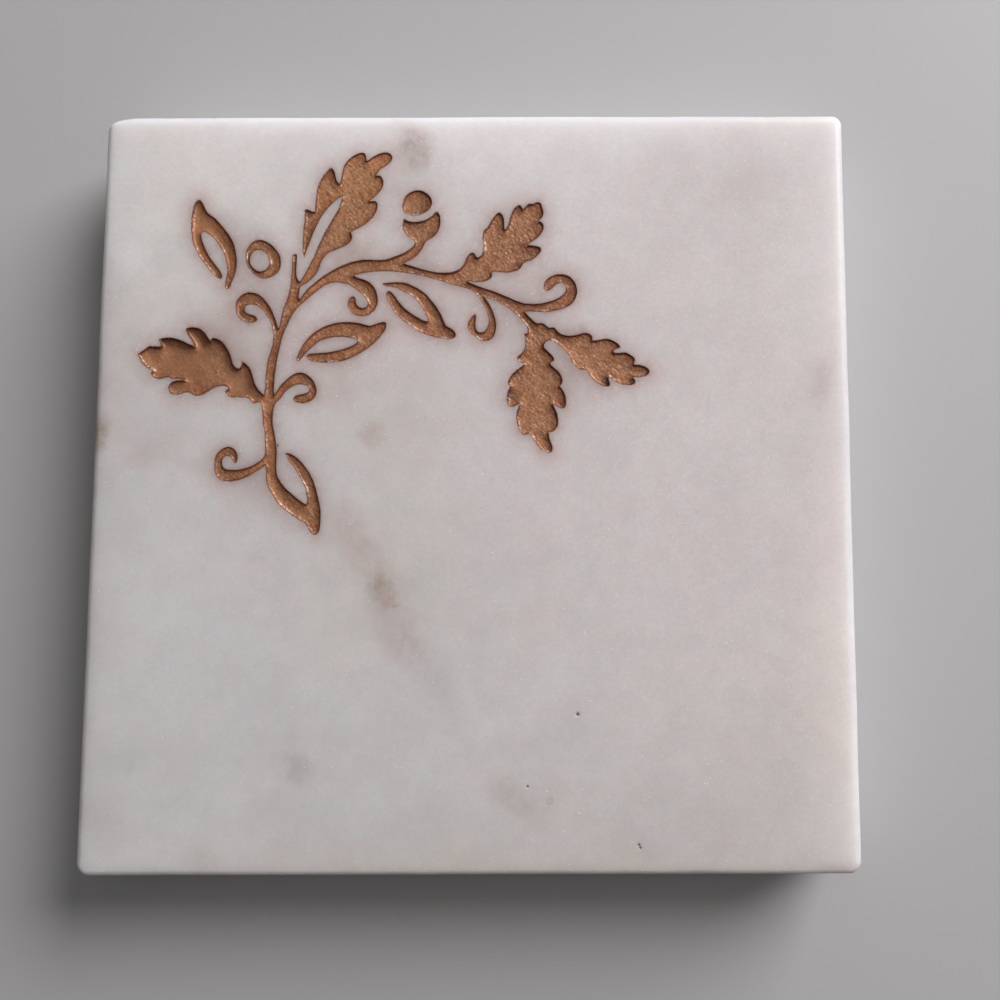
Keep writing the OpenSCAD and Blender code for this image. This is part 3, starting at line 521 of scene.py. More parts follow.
def slab_shell():
    """Rings of the slab from the edge of its upper face, over the side, to the edge of its underside."""
    p, n = plan(0.0)
    x, y = p.T
    s = np.r_[0, np.cumsum(np.hypot(*np.diff(p, axis=0).T))]
    # Sides ground flat by hand: a soft waviness, and an edge radius that wanders.
    front = np.clip(-n[:, 1], 0, 1)
    wave = (0.05 + 0.05 * cloud(x, y, 22.0, 61, 2)) * (1 - 0.8 * front)
    # The front edge is the tightest of the four.
    r_top = EDGE * (1 + 0.13 * cloud(x, y, 9.0, 62, 3)) * (1 - 0.45 * front - 0.18 * np.clip(-n[:, 0], 0, 1))
    r_low = 0.9 * EDGE * (1 + 0.16 * cloud(x, y, 7.0, 63, 3))
    # The worn back left corner.
    worn = 0.55 * np.exp(-(((x + HALF) / 2.6) ** 2 + ((y - HALF) / 1.3) ** 2) ** 1.2)
    rings = [(1.75, TOP, 0.0, 0.0)]
    for a in np.radians([0, 9, 20, 32, 45, 58, 70, 81, 90]):
        rings.append(("top", a))
    for t in (0.1, 0.2, 0.32, 0.44, 0.56, 0.68, 0.8, 0.9):
        rings.append(("side", t))
    for a in np.radians([90, 78, 62, 45, 28, 12, 0]):
        rings.append(("low", a))
    rings.append((1.75, BASE, 0.0, 0.0))
    verts = []
    for r in rings:
        if r[0] == "top":
            inset = r_top * (1 - math.sin(r[1])) + worn * (0.25 + 0.75 * math.sin(r[1])) * 0.8
            z = TOP - r_top * (1 - math.cos(r[1])) - 0.35 * worn * math.sin(r[1])
        elif r[0] == "side":
            z = (TOP - r_top - 0.35 * worn) * (1 - r[1]) + (BASE + r_low) * r[1]
            inset = np.zeros(len(p)) + worn * 0.8 * (1 - r[1]) ** 2
        elif r[0] == "low":
            inset = r_low * (1 - math.sin(r[1]))
            z = BASE + r_low * (1 - math.cos(r[1]))
        else:
            inset, z = np.full(len(p), r[0]), np.full(len(p), r[1])
        side = 1.0 if r[0] in ("top", "side", "low") else 0.0
        rough = side * 0.012 * (cloud(s, np.full(len(p), float(np.mean(z)) * 1.0), 1.6, 64, 2) + 1)
        inset = inset + side * wave + rough
        # Nicks along the lower edge, and a few on the upper one.
        if r[0] == "low" or (r[0] == "side" and r[1] > 0.85):
            nick = np.clip(cloud(s, s * 0 + 3.3, 1.9, 71, 2) - 0.52, 0, 1) * 1.3
            inset = inset + nick * 0.5
            z = z + nick * (0.35 if r[0] == "low" else 0.1)
        if r[0] == "top" and r[1] > 0.3:
            nick = np.clip(cloud(s, s * 0 + 8.1, 1.5, 73, 2) - 0.66, 0, 1)
            inset = inset + nick * 0.16
            z = z - nick * 0.08
        nominal = float(inset.mean())
        q, n = plan(nominal)
        verts.append(np.c_[q - n * (inset - nominal)[:, None], z])
    return np.array(verts)


def build_stone(material):
    shell = slab_shell()
    rings, count = shell.shape[:2]
    parts, labels, sieve = stone_points()
    hull = shell[0][:, :2]
    for x, y in hull:
        sieve.put(x, y)
    for cx, cy, r, h in PITS:
        q = [(cx, cy)]
        for k, m in ((0.45, 7), (0.85, 11), (1.3, 15), (2.0, 18), (3.2, 20)):
            a = np.arange(m) / m * 2 * math.pi + k
            q += [(cx + r * k * math.cos(t), cy + r * k * math.sin(t)) for t in a]
        q = np.array(q)
        q = q[~rim.inside(q)]
        kept = sieve.keep(q, 0.03)
        parts.append(kept)
        labels.append(np.full(len(kept), -1))
    g = hexes((-HALF + 1.5, -HALF + 1.5), (HALF - 1.5, HALF - 1.5), 1.15)
    g = g[~rim.inside(g)]
    d, _ = rim.distance(g)
    g = g[(d > 0.6) & (np.abs(g) < HALF - 2.1).all(1)]
    g = sieve.keep(g + rng.uniform(-0.12, 0.12, g.shape), 0.5)
    parts += [g, hull]
    labels += [np.full(len(g), -1), np.full(len(hull), -1)]
    p, lab = np.vstack(parts), np.concatenate(labels)
    n_rim, first_hull = len(rim.p), len(p) - len(hull)
    edges = [(i, int(rim.after[i])) for i in range(n_rim)] + [(first_hull + i, first_hull + (i + 1) % count) for i in range(count)]
    f = triangles(p, edges)

    x, y = p.T
    d, near = rim.distance(p)
    z = np.full(len(p), TOP)
    out, low, on = lab == -1, lab > 0, lab == 0
    width = 0.13 + 0.05 * cloud(x, y, 1.1, 45, 2)
    z[out] -= (lip(x, y) * np.clip(1 - d / width, 0, 1) ** 2)[out] + pits(x, y)[out]
    z[on] -= lip(x, y)[on]
    z[low] -= (recess(d, x, y, near) + 0.15 * ease(d / 0.18))[low]
    # A honed face isn't optically flat.
    z[out] -= 0.006 * (1 + cloud(x, y, 14.0, 81, 2))[out] * ease((HALF - 1.9 - np.abs(p).max(1)) / 3)[out]

    # The faces of each recess, which the films also stand on.
    touches = np.array([lab[f] == k + 1 for k in range(len(GILDINGS))]).any(2)
    node_of = np.where(touches.any(0), touches.argmax(0), -1)
    bare = (lab[f] == 0).all(1)
    centre = p[f[bare]].mean(1)
    which = np.full(len(centre), -1)
    for k in range(len(GILDINGS)):
        which[rim.inside(centre, k)] = k
    node_of[bare] = which

    shell_index = np.zeros((rings, count), int)
    shell_index[0] = first_hull + np.arange(count)
    shell_index[1:] = len(p) + np.arange((rings - 1) * count).reshape(rings - 1, count)
    sides_v = shell[1:].reshape(-1, 3)
    a, b = shell_index[:-1], shell_index[1:]
    a2, b2 = np.roll(a, -1, 1), np.roll(b, -1, 1)
    side_faces = np.concatenate([np.stack([a, b, b2], -1).reshape(-1, 3), np.stack([a, b2, a2], -1).reshape(-1, 3)])

    # The underside.
    low_ring = shell_index[-1]
    low_xy = shell[-1][:, :2]
    under = Sieve(1.0)
    for q in low_xy:
        under.put(*q)
    g = hexes((-HALF + 1.5, -HALF + 1.5), (HALF - 1.5, HALF - 1.5), 1.7)
    g = g[(np.abs(g) < HALF - 2.3).all(1)]
    g = under.keep(g, 0.7)
    q = np.vstack([low_xy, g])
    fu = triangles(q, [(i, (i + 1) % count) for i in range(count)])
    start = len(p) + len(sides_v)
    under_index = np.r_[low_ring, start + np.arange(len(g))]
    saw = 0.010 * (1 + np.sin(g[:, 1] * 2.2 + 0.8 * np.sin(g[:, 0] * 0.05))) * ease((HALF - 2.4 - np.abs(g).max(1)) / 2)
    for cx in (-38, 38):
        for cy in (-38, 38):
            saw = saw * ease((np.hypot(g[:, 0] - cx, g[:, 1] - cy) - 5.0) / 1.5)
    under_v = np.c_[g, BASE + saw]
    fu = under_index[fu][:, ::-1]

    verts = np.vstack([np.c_[p, z], sides_v, under_v])
    faces = np.vstack([f, side_faces, fu])
    ob = make("marble_slab_stone", verts, faces, material)
    reach = np.full(len(verts), 3.0)
    reach[:len(p)] = np.where(lab == -1, d, 0.0)
    number(ob, "reach", reach)

    # Unwrapping: the upper face in one square, the sides in four strips, the underside in a small square.
    kind = np.r_[np.zeros(len(f), int), np.ones(len(side_faces), int), np.full(len(fu), 2)]
    c = verts[faces]
    mid = c.mean(1)
    normal = np.cross(c[:, 1] - c[:, 0], c[:, 2] - c[:, 0])
    normal /= np.maximum(np.linalg.norm(normal, axis=1), 1e-12)[:, None]
    kind[(kind == 1) & (normal[:, 2] > 0.72)] = 0
    kind[(kind == 1) & (normal[:, 2] < -0.72)] = 2
    uv = np.zeros((len(faces), 3, 2))
    m = kind == 0
    uv[m] = 0.004 + (c[m][:, :, :2] + 50.2) / 100.4 * 0.80
    m = kind == 2
    uv[m, :, 0] = 0.812 + (c[m][:, :, 0] + 50.2) / 100.4 * 0.183
    uv[m, :, 1] = 0.812 + (c[m][:, :, 1] + 50.2) / 100.4 * 0.183
    facing = np.where(np.abs(normal[:, 0]) > np.abs(normal[:, 1]), np.where(normal[:, 0] > 0, 0, 1), np.where(normal[:, 1] > 0, 2, 3))
    for k in range(4):
        m = (kind == 1) & (facing == k)
        along = c[m][:, :, 1] if k < 2 else c[m][:, :, 0]
        up = (c[m][:, :, 2] - BASE) / 10.0
        if k < 2:
            uv[m, :, 0] = 0.812 + 0.092 * k + up * 0.086
            uv[m, :, 1] = 0.004 + (along + 50.2) / 100.4 * 0.80
        else:
            uv[m, :, 0] = 0.004 + (along + 50.2) / 100.4 * 0.80
            uv[m, :, 1] = 0.812 + 0.092 * (k - 2) + up * 0.086
    uv_map(ob, uv)
    return ob, verts, f, node_of, lab


def build_film(k, stone, material):
    verts_s, f_s, node_of, lab = stone
    i, p, f = film_top(k)
    n_rim = len(i)
    x, y = p.T
    d, near = rim.distance(p)
    d[:n_rim] = 0
    depth = recess(d, x, y, near)
    # The blast digs less deep in narrow strokes.
    broad = d.copy()
    for _ in range(9):
        for a, b in ((0, 1), (1, 2), (2, 0)):
            high = np.maximum(broad[f[:, a]], broad[f[:, b]])
            np.maximum.at(broad, f[:, a], high)
            np.maximum.at(broad, f[:, b], high)
    broad = smooth_heights(broad, f, np.ones(len(p), bool), 14)
    z = TOP - lip(x, y) - (depth - lip(x, y)) * (0.60 + 0.40 * ease((broad - 0.42) / 0.75))
    free = np.arange(len(p)) >= n_rim
    z = smooth_heights(z, f, free, 3)
    z = smooth_heights(z, f, d > 0.30, 16)
    z = z + np.where(free, relief(d, x, y) + drops(x, y) * ease(d / 0.5), 0.0)
    z = np.minimum(z, TOP - 0.006)
    # The underside of the film is the stone's own recess.
    mine = f_s[node_of == k]
    used = np.unique(mine)
    below = used[lab[used] > 0]
    index = {int(a): m for m, a in enumerate(i)}
    index.update({int(a): len(p) + m for m, a in enumerate(below)})
    under = np.array([[index[int(a)] for a in t] for t in mine])[:, ::-1]
    # A face with the same corners in both sheets would have no thickness.
    twice = {tuple(sorted(t)) for t in f.tolist()} & {tuple(sorted(t)) for t in under.tolist()}
    f = f[[tuple(sorted(t)) not in twice for t in f.tolist()]]
    under = under[[tuple(sorted(t)) not in twice for t in under.tolist()]]
    verts = np.vstack([np.c_[p, z], verts_s[below]])
    faces = np.vstack([f, under])
    keep = np.unique(faces)
    place = np.zeros(len(verts), int)
    place[keep] = np.arange(len(keep))
    verts, faces = verts[keep], place[faces]
    ob = make(GILDINGS[k] + "_paint", verts, faces, material)
    number(ob, "inset", np.r_[d, np.full(len(below), 1.0)][keep])
    number(ob, "pool", np.r_[pooled(x, y), np.zeros(len(below))][keep])
    number(ob, "toward", np.r_[facing(near), np.zeros(len(below))][keep])
    lo, hi = p.min(0), p.max(0)
    size = (hi - lo).max() * 1.01
    c = verts[faces]
    uv = np.zeros((len(faces), 3, 2))
    wide = (hi - lo)[0] >= (hi - lo)[1]
    short = (hi - lo).min() / size
    top = np.arange(len(faces)) < len(f)
    room = min(0.92, 0.97 - 0.0)
    uv[top] = 0.01 + (c[top][:, :, :2] - lo) / size * (0.98 if short < 0.8 else 0.86)
    scale = 0.18 if short < 0.8 else 0.115
    at = np.array([0.01, 0.99 - scale * short]) if wide else np.array([0.99 - scale * short, 0.01])
    if short >= 0.8:
        at = np.array([0.875, 0.875])
    uv[~top] = at + (c[~top][:, :, :2] - lo) / size * scale
    uv_map(ob, uv)
    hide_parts(GILDINGS[k])
    return ob


def lathe(profile, cx, cy, segments, wobble, seed):
    """A turned shape about a vertical axis at (cx, cy). profile runs from the axis, round the outside, back to the axis."""
    a = np.arange(segments) / segments * 2 * math.pi
    verts, faces = [(cx, cy, profile[0][1])], []
    rows = []
    for r, z in profile[1:-1]:
        w = 1 + wobble * np.array([float(noise(np.array([3 * math.cos(t) + seed]), np.array([3 * math.sin(t)]), seed)[0]) for t in a])
        rows.append(len(verts))
        verts += [(cx + r * k * math.cos(t), cy + r * k * math.sin(t), z) for t, k in zip(a, w)]
    verts.append((cx, cy, profile[-1][1]))
    last = len(verts) - 1
    for j in range(segments):
        m = (j + 1) % segments
        faces.append((0, rows[0] + m, rows[0] + j))
        for u, v in zip(rows[:-1], rows[1:]):
            faces.append((u + j, u + m, v + m, v + j))
        faces.append((last, rows[-1] + j, rows[-1] + m))
    return np.array(verts), faces


# ---------------------------------------------------------------- materials

class Graph:
    """A small helper for building node materials."""

    def __init__(self, name):
        self.mat = bpy.data.materials.new(name)
        self.mat.use_nodes = True
        self.tree = self.mat.node_tree
        self.tree.nodes.clear()
        self.out = self.node("ShaderNodeOutputMaterial")
        self.bsdf = self.node("ShaderNodeBsdfPrincipled")
        self.link(self.bsdf.outputs[0], self.out.inputs["Surface"])

    def node(self, kind, **settings):
        n = self.tree.nodes.new(kind)
        for k, v in settings.items():
            setattr(n, k, v)
        return n

    def link(self, a, b):
        self.tree.links.new(a, b)

    def put(self, value, socket):
        if isinstance(value, bpy.types.NodeSocket):
            self.link(value, socket)
        elif isinstance(value, (tuple, list)) and len(value) == 3 and socket.type == "RGBA":
            socket.default_value = (*value, 1.0)
        else:
            socket.default_value = value

    def math(self, op, a, b=0.0, c=None, clamp=False):
        n = self.node("ShaderNodeMath", operation=op, use_clamp=clamp)
        self.put(a, n.inputs[0])
        self.put(b, n.inputs[1])
        if c is not None:
            self.put(c, n.inputs[2])
        return n.outputs[0]

    def vec(self, op, a, b=None, scale=None):
        n = self.node("ShaderNodeVectorMath", operation=op)
        self.put(a, n.inputs[0])
        if b is not None:
            self.put(b, n.inputs[1])
        if scale is not None:
            self.put(scale, n.inputs["Scale"])
        return n.outputs["Value"] if op in ("LENGTH", "DOT_PRODUCT", "DISTANCE") else n.outputs["Vector"]

    def mix(self, fac, a, b, mode="MIX"):
        n = self.node("ShaderNodeMix", data_type="RGBA", blend_type=mode, clamp_result=False)
        self.put(fac, n.inputs["Factor"])
        self.put(a, [s for s in n.inputs if s.name == "A" and s.type == "RGBA"][0])
        self.put(b, [s for s in n.inputs if s.name == "B" and s.type == "RGBA"][0])
        return [s for s in n.outputs if s.type == "RGBA"][0]

    def span(self, value, lo, hi, to_lo=0.0, to_hi=1.0, smooth=True):
        n = self.node("ShaderNodeMapRange", interpolation_type="SMOOTHSTEP" if smooth else "LINEAR")
        n.clamp = True
        self.put(value, n.inputs["Value"])
        for name, v in (("From Min", lo), ("From Max", hi), ("To Min", to_lo), ("To Max", to_hi)):
            self.put(v, n.inputs[name])
        return n.outputs["Result"]

    def noise(self, where, scale, detail=2.0, rough=0.5, twist=0.0, colour=False):
        n = self.node("ShaderNodeTexNoise", noise_dimensions="3D")
        self.put(where, n.inputs["Vector"])
        n.inputs["Scale"].default_value = scale
        n.inputs["Detail"].default_value = detail
        n.inputs["Roughness"].default_value = rough
        n.inputs["Distortion"].default_value = twist
        return n.outputs["Color" if colour else 0]

    def cells(self, where, scale, feature="F1", want="Distance", random=1.0):
        n = self.node("ShaderNodeTexVoronoi", voronoi_dimensions="3D", feature=feature)
        self.put(where, n.inputs["Vector"])
        n.inputs["Scale"].default_value = scale
        n.inputs["Randomness"].default_value = random
        return n.outputs[want]

    def millimetres(self):
        t = self.node("ShaderNodeTexCoord")
        return self.vec("SCALE", t.outputs["Object"], scale=1000.0)

    def value(self, name):
        return self.node("ShaderNodeAttribute", attribute_name=name).outputs["Fac"]

    def bump(self, height, strength, distance, under=None):
        n = self.node("ShaderNodeBump")
        n.inputs["Strength"].default_value = strength
        n.inputs["Distance"].default_value = distance
        self.put(height, n.inputs["Height"])
        if under is not None:
            self.put(under, n.inputs["Normal"])
        return n.outputs["Normal"]

    def blob(self, where, x, y, rx, ry, angle, soft=0.25):
        """1 in an ellipse at (x, y), turned by angle degrees, falling softly to 0 at its edge."""
        q = self.vec("SUBTRACT", where, (x, y, TOP))
        turn = self.node("ShaderNodeVectorRotate", rotation_type="Z_AXIS")
        self.put(q, turn.inputs["Vector"])
        turn.inputs["Angle"].default_value = -math.radians(angle)
        q = self.vec("MULTIPLY", turn.outputs["Vector"], (1 / rx, 1 / ry, 0.12))
        return self.span(self.vec("LENGTH", q), soft, 1.0, 1.0, 0.0)


def marble_material():
    g = Graph("marble_honed")
    p = g.millimetres()
    warp = g.vec("SUBTRACT", g.noise(p, 0.10, 3.0, 0.55, colour=True), (0.5, 0.5, 0.5))
    w = g.vec("ADD", p, g.vec("SCALE", warp, scale=9.0))
    fine_warp = g.vec("SUBTRACT", g.noise(p, 0.42, 4.0, 0.6, colour=True), (0.5, 0.5, 0.5))
    near = g.vec("ADD", g.vec("ADD", p, g.vec("SCALE", warp, scale=1.5)), g.vec("SCALE", fine_warp, scale=2.4))

    # Creamier towards the right, cooler and greyer towards the lower left, milky along the back edge, and darker along
    # the left and front edges: partly the stone's own tone, partly painted light falling off away from the lamp at the
    # upper right, and painted shade along the edges that face away from it.
    side = g.vec("DOT_PRODUCT", w, (0.0088, 0.0082, 0.0))
    tone_and_falloff = g.span(g.math("ADD", side, g.math("MULTIPLY", g.math("SUBTRACT", g.noise(p, 0.035, 2.0), 0.5), 0.7)), -0.75, 0.65)
    colour = g.mix(tone_and_falloff, (0.672, 0.655, 0.655), (0.742, 0.686, 0.678))
    colour = g.mix(g.math("MULTIPLY", g.span(g.noise(w, 0.075, 3.0, 0.5), 0.42, 0.70), 0.22), colour, (0.80, 0.78, 0.775))
    for x, y, rx, ry, angle, strength, tint in (
            (-12.0, 55.0, 62.0, 25.0, 4, 0.66, (0.87, 0.835, 0.835)),
            (-40.0, 42.0, 20.0, 14.0, 20, 0.30, (0.86, 0.83, 0.81)),
            (-14.0, 21.0, 27.0, 13.0, 0, 0.42, (0.64, 0.53, 0.52)),
            (0.0, 22.0, 16.0, 10.0, 0, 0.30, (0.64, 0.53, 0.52)),
            (6.0, -2.0, 16.0, 12.0, -30, 0.30, (0.74, 0.655, 0.68)),
            (26.0, -12.0, 16.0, 12.0, 30, 0.20, (0.74, 0.65, 0.66)),
            (-40.0, 4.0, 14.0, 6.0, -10, 0.30, (0.60, 0.53, 0.51)),
            (-38.0, -16.0, 16.0, 12.0, 0, 0.26, (0.74, 0.75, 0.75)),
            (-6.0, -12.0, 14.0, 9.0, 60, 0.24, (0.66, 0.66, 0.67)),
            (12.0, -33.0, 9.0, 8.0, 0, 0.24, (0.60, 0.58, 0.57)),
            (38.0, -34.0, 22.0, 24.0, 0, 0.24, (0.72, 0.68, 0.63)),
            (44.0, 20.0, 10.0, 34.0, 0, 0.26, (0.79, 0.745, 0.72)),
            (-8.0, -46.0, 30.0, 7.0, 0, 0.26, (0.60, 0.56, 0.54)),
            (-50.0, 12.0, 3.4, 25.0, 0, 0.44, (0.50, 0.455, 0.435)),
            (-50.0, -26.0, 3.0, 22.0, 0, 0.24, (0.52, 0.485, 0.470)),
            (-50.0, 40.0, 4.0, 12.0, 0, 0.40, (0.86, 0.82, 0.81)),
            (6.0, -50.0, 60.0, 5.5, 0, 0.30, (0.66, 0.595, 0.560))):
        colour = g.mix(g.math("MULTIPLY", g.blob(w, x, y, rx, ry, angle, 0.1), strength), colour, tint)

    # Tints multiplied over listed patches. Most follow the stone's own tone. The lighter, bluer ones along the back and
    # right edges, which face the lamp, are painted highlight. The darker one along the left edge is painted shade. The
    # darker ones close round the ornament are partly painted shade and partly paint dust.
    for x, y, rx, ry, angle, cast in (
            (-36.0, 33.0, 22.0, 26.0, 0, (1.055, 1.055, 1.040)),
            (6.0, 47.0, 34.0, 10.0, 0, (1.045, 1.060, 1.065)),
            (16.0, 37.0, 26.0, 16.0, 0, (1.030, 1.036, 1.040)),
            (33.0, 40.0, 13.0, 12.0, 0, (0.950, 0.935, 0.935)),
            (46.0, 9.0, 9.0, 17.0, 0, (0.965, 0.945, 0.940)),
            (-21.5, 24.5, 6.5, 5.5, 0, (1.06, 1.07, 1.07)),
            (-11.0, 19.0, 9.0, 6.0, 0, (1.04, 1.06, 1.07)),
            (-2.0, 20.0, 6.0, 6.0, 0, (1.03, 1.055, 1.07)),
            (-35.0, 21.5, 6.0, 5.5, 0, (0.93, 0.90, 0.89)),
            (-46.0, 17.0, 7.0, 9.0, 0, (0.965, 0.945, 0.935)),
            (-30.0, -1.5, 7.0, 5.5, 0, (0.95, 0.925, 0.925)),
            (14.5, 12.5, 5.5, 4.5, 0, (0.94, 0.91, 0.91)),
            (4.0, -16.0, 16.0, 11.0, 0, (0.968, 0.952, 0.946)),
            (-12.0, -12.0, 20.0, 13.0, 60, (0.990, 0.975, 0.940)),
            (-12.0, 8.0, 14.0, 11.0, 0, (0.985, 0.970, 0.940)),
            (20.0, -46.0, 40.0, 12.0, 0, (0.950, 0.942, 0.936)),
            (35.0, -39.0, 18.0, 14.0, 0, (0.955, 0.950, 0.955)),
            (-40.0, -20.0, 22.0, 28.0, 0, (1.030, 1.030, 1.025)),
            (48.0, -26.0, 10.0, 38.0, 0, (1.085, 1.075, 1.045)),
            (-48.0, -43.0, 8.0, 8.0, 0, (0.945, 0.938, 0.930)),
            (-49.5, -5.0, 5.0, 58.0, 0, (0.970, 0.962, 0.952)),
            (0.0, -49.8, 75.0, 5.0, 0, (1.000, 0.985, 0.950)),
            (-45.0, 33.0, 7.0, 8.0, 0, (1.045, 1.060, 1.055)),
            (27.0, 47.0, 9.0, 5.0, 0, (1.030, 1.045, 1.045)),
            (-5.0, 43.0, 5.0, 4.0, 0, (0.955, 0.940, 0.940)),
            (-47.5, 11.0, 3.5, 10.0, 0, (0.965, 0.950, 0.945)),
            (45.0, 13.0, 4.0, 5.0, 0, (0.975, 0.965, 0.965)),
            (43.0, -12.0, 6.0, 6.0, 0, (0.975, 0.955, 0.950)),
            (5.0, -35.0, 7.0, 5.0, 0, (0.978, 0.970, 0.970)),
            (-27.0, -10.0, 6.0, 5.0, 0, (1.006, 0.986, 0.982)),
            (-45.0, 3.0, 4.0, 4.0, 0, (1.006, 0.984, 0.980)),
            (-38.0, -5.0, 7.0, 5.0, 0, (0.992, 1.006, 1.010)),
            (5.0, -14.0, 5.0, 7.0, 20, (0.992, 1.006, 1.010)),
            (-15.0, -30.0, 8.0, 6.0, 0, (0.992, 1.006, 1.010)),
            (13.0, -25.0, 7.0, 6.0, 0, (0.992, 1.006, 1.010)),
            (-31.0, 24.0, 7.0, 9.0, 0, (0.935, 0.920, 0.920)),
            (-33.0, 18.0, 6.0, 4.0, -20, (0.945, 0.915, 0.905)),
            (-36.0, 35.0, 6.0, 6.0, 0, (0.955, 0.945, 0.945)),
            (-29.0, 2.0, 8.0, 7.0, 0, (0.950, 0.935, 0.925)),
            (-26.0, -4.0, 5.0, 4.0, 0, (0.965, 0.955, 0.945)),
            (-38.0, 11.0, 8.0, 4.0, 0, (0.960, 0.950, 0.940)),
            (-12.0, 36.0, 4.5, 8.0, 0, (0.945, 0.935, 0.935)),
            (-17.0, 31.5, 5.0, 3.0, 20, (0.930, 0.895, 0.880)),
            (-8.0, 29.0, 5.0, 4.5, 0, (0.940, 0.915, 0.905)),
            (-2.0, 29.0, 5.0, 5.0, 0, (0.960, 0.955, 0.960)),
            (-8.0, 45.0, 4.0, 4.0, 0, (0.960, 0.945, 0.935)),
            (6.0, 22.0, 7.0, 7.0, 0, (0.945, 0.935, 0.935)),
            (12.0, 17.0, 4.0, 6.0, 20, (0.925, 0.895, 0.885)),
            (11.0, 27.0, 6.0, 4.0, 0, (0.960, 0.955, 0.960)),
            (5.0, 36.0, 7.0, 5.0, 0, (0.970, 0.965, 0.970)),
            (4.0, 11.0, 3.5, 7.0, 0, (0.965, 0.955, 0.955)),
            (14.0, 44.0, 6.0, 4.0, 0, (0.972, 0.965, 0.968)),
            (43.0, -30.0, 6.0, 24.0, 0, (0.980, 0.975, 0.975)),
            (9.0, -36.0, 7.0, 16.0, 0, (0.982, 0.978, 0.980)),
            (-33.0, -30.0, 6.0, 6.0, 0, (1.018, 1.018, 1.012)),
            (-8.0, -46.0, 7.0, 4.0, 0, (1.025, 1.025, 1.020)),
            (50.5, -10.0, 4.5, 62.0, 0, (0.970, 0.990, 1.010)),
            (0.0, 50.5, 62.0, 4.5, 0, (0.980, 0.995, 1.015)),
            (-29.5, 29.5, 5.5, 7.5, 0, (0.880, 0.870, 0.870)),
            (-35.5, 18.5, 8.5, 5.0, 0, (0.915, 0.895, 0.890)),
            (-31.5, 16.0, 3.5, 3.0, 0, (0.930, 0.890, 0.870)),
            (-45.5, 17.5, 4.0, 5.0, 0, (0.950, 0.945, 0.945)),
            (-27.0, 1.0, 4.5, 5.5, 0, (0.915, 0.890, 0.880)),
            (-23.0, -4.5, 4.0, 3.0, 0, (0.945, 0.930, 0.925)),
            (-10.0, 42.5, 4.5, 5.5, 0, (0.900, 0.885, 0.870)),
            (-15.5, 31.5, 3.5, 3.5, 0, (0.900, 0.870, 0.840)),
            (-7.0, 28.0, 3.5, 3.0, 0, (0.870, 0.850, 0.830)),
            (12.0, 17.0, 4.0, 6.0, 0, (0.800, 0.770, 0.760)),
            (-32.0, 33.0, 4.5, 5.0, 0, (0.900, 0.900, 0.900)),
            (-26.5, 24.5, 4.0, 5.0, 0, (0.920, 0.915, 0.915)),
            (-30.0, 15.0, 5.0, 4.0, 0, (0.925, 0.910, 0.900)),
            (6.5, 22.5, 7.0, 5.0, 0, (0.920, 0.910, 0.915)),
            (8.5, 34.0, 4.5, 4.0, 0, (0.910, 0.905, 0.900)),
            (4.5, 15.5, 3.0, 3.5, 0, (0.945, 0.940, 0.945)),
            (46.5, -49.0, 9.0, 4.5, 0, (0.925, 0.925, 0.925)),
            (-45.5, 27.5, 4.0, 4.5, 0, (1.055, 1.055, 1.055)),
            (-27.5, 49.0, 7.5, 3.0, 0, (1.060, 1.070, 1.080)),
            (42.0, 49.0, 5.0, 2.5, 0, (0.945, 0.940, 0.940)),
            (-8.0, -12.5, 3.0, 3.0, 0, (0.965, 0.955, 0.945))):
        colour = g.mix(g.blob(w, x, y, rx, ry, angle, 0.1), colour, cast, "MULTIPLY")

    # Mottle: hues at one to three millimetres, lightness at half a millimetre, and single crystals.
    drift = g.noise(w, 0.11, 2.0, 0.5)
    colour = g.mix(1.0, colour, g.mix(g.span(drift, 0.36, 0.64), (1.006, 0.994, 0.994), (0.995, 1.002, 1.004)), "MULTIPLY")
    hue = g.noise(p, 0.50, 3.0, 0.55)
    colour = g.mix(1.0, colour, g.mix(g.span(hue, 0.36, 0.64), (1.006, 0.996, 0.996), (0.994, 1.001, 1.003)), "MULTIPLY")
    veil = g.noise(near, 0.30, 4.0, 0.6)
    colour = g.mix(1.0, colour, g.mix(g.span(veil, 0.35, 0.65), (0.978, 0.976, 0.977), (1.018, 1.019, 1.019)), "MULTIPLY")
    mottle = g.noise(p, 1.9, 4.0, 0.70)
    coarse = g.span(side, -0.6, 0.3, 0.60, 1.0)
    colour = g.mix(coarse, colour, g.mix(g.span(mottle, 0.32, 0.68, smooth=False), (0.976, 0.975, 0.975), (1.023, 1.024, 1.025)), "MULTIPLY")
    crystal = g.cells(p, 2.8, want="Color")
    split = g.node("ShaderNodeSeparateColor")
    g.put(crystal, split.inputs[0])
    colour = g.mix(coarse, colour, g.mix(split.outputs[0], (0.975, 0.975, 0.975), (1.022, 1.022, 1.022)), "MULTIPLY")

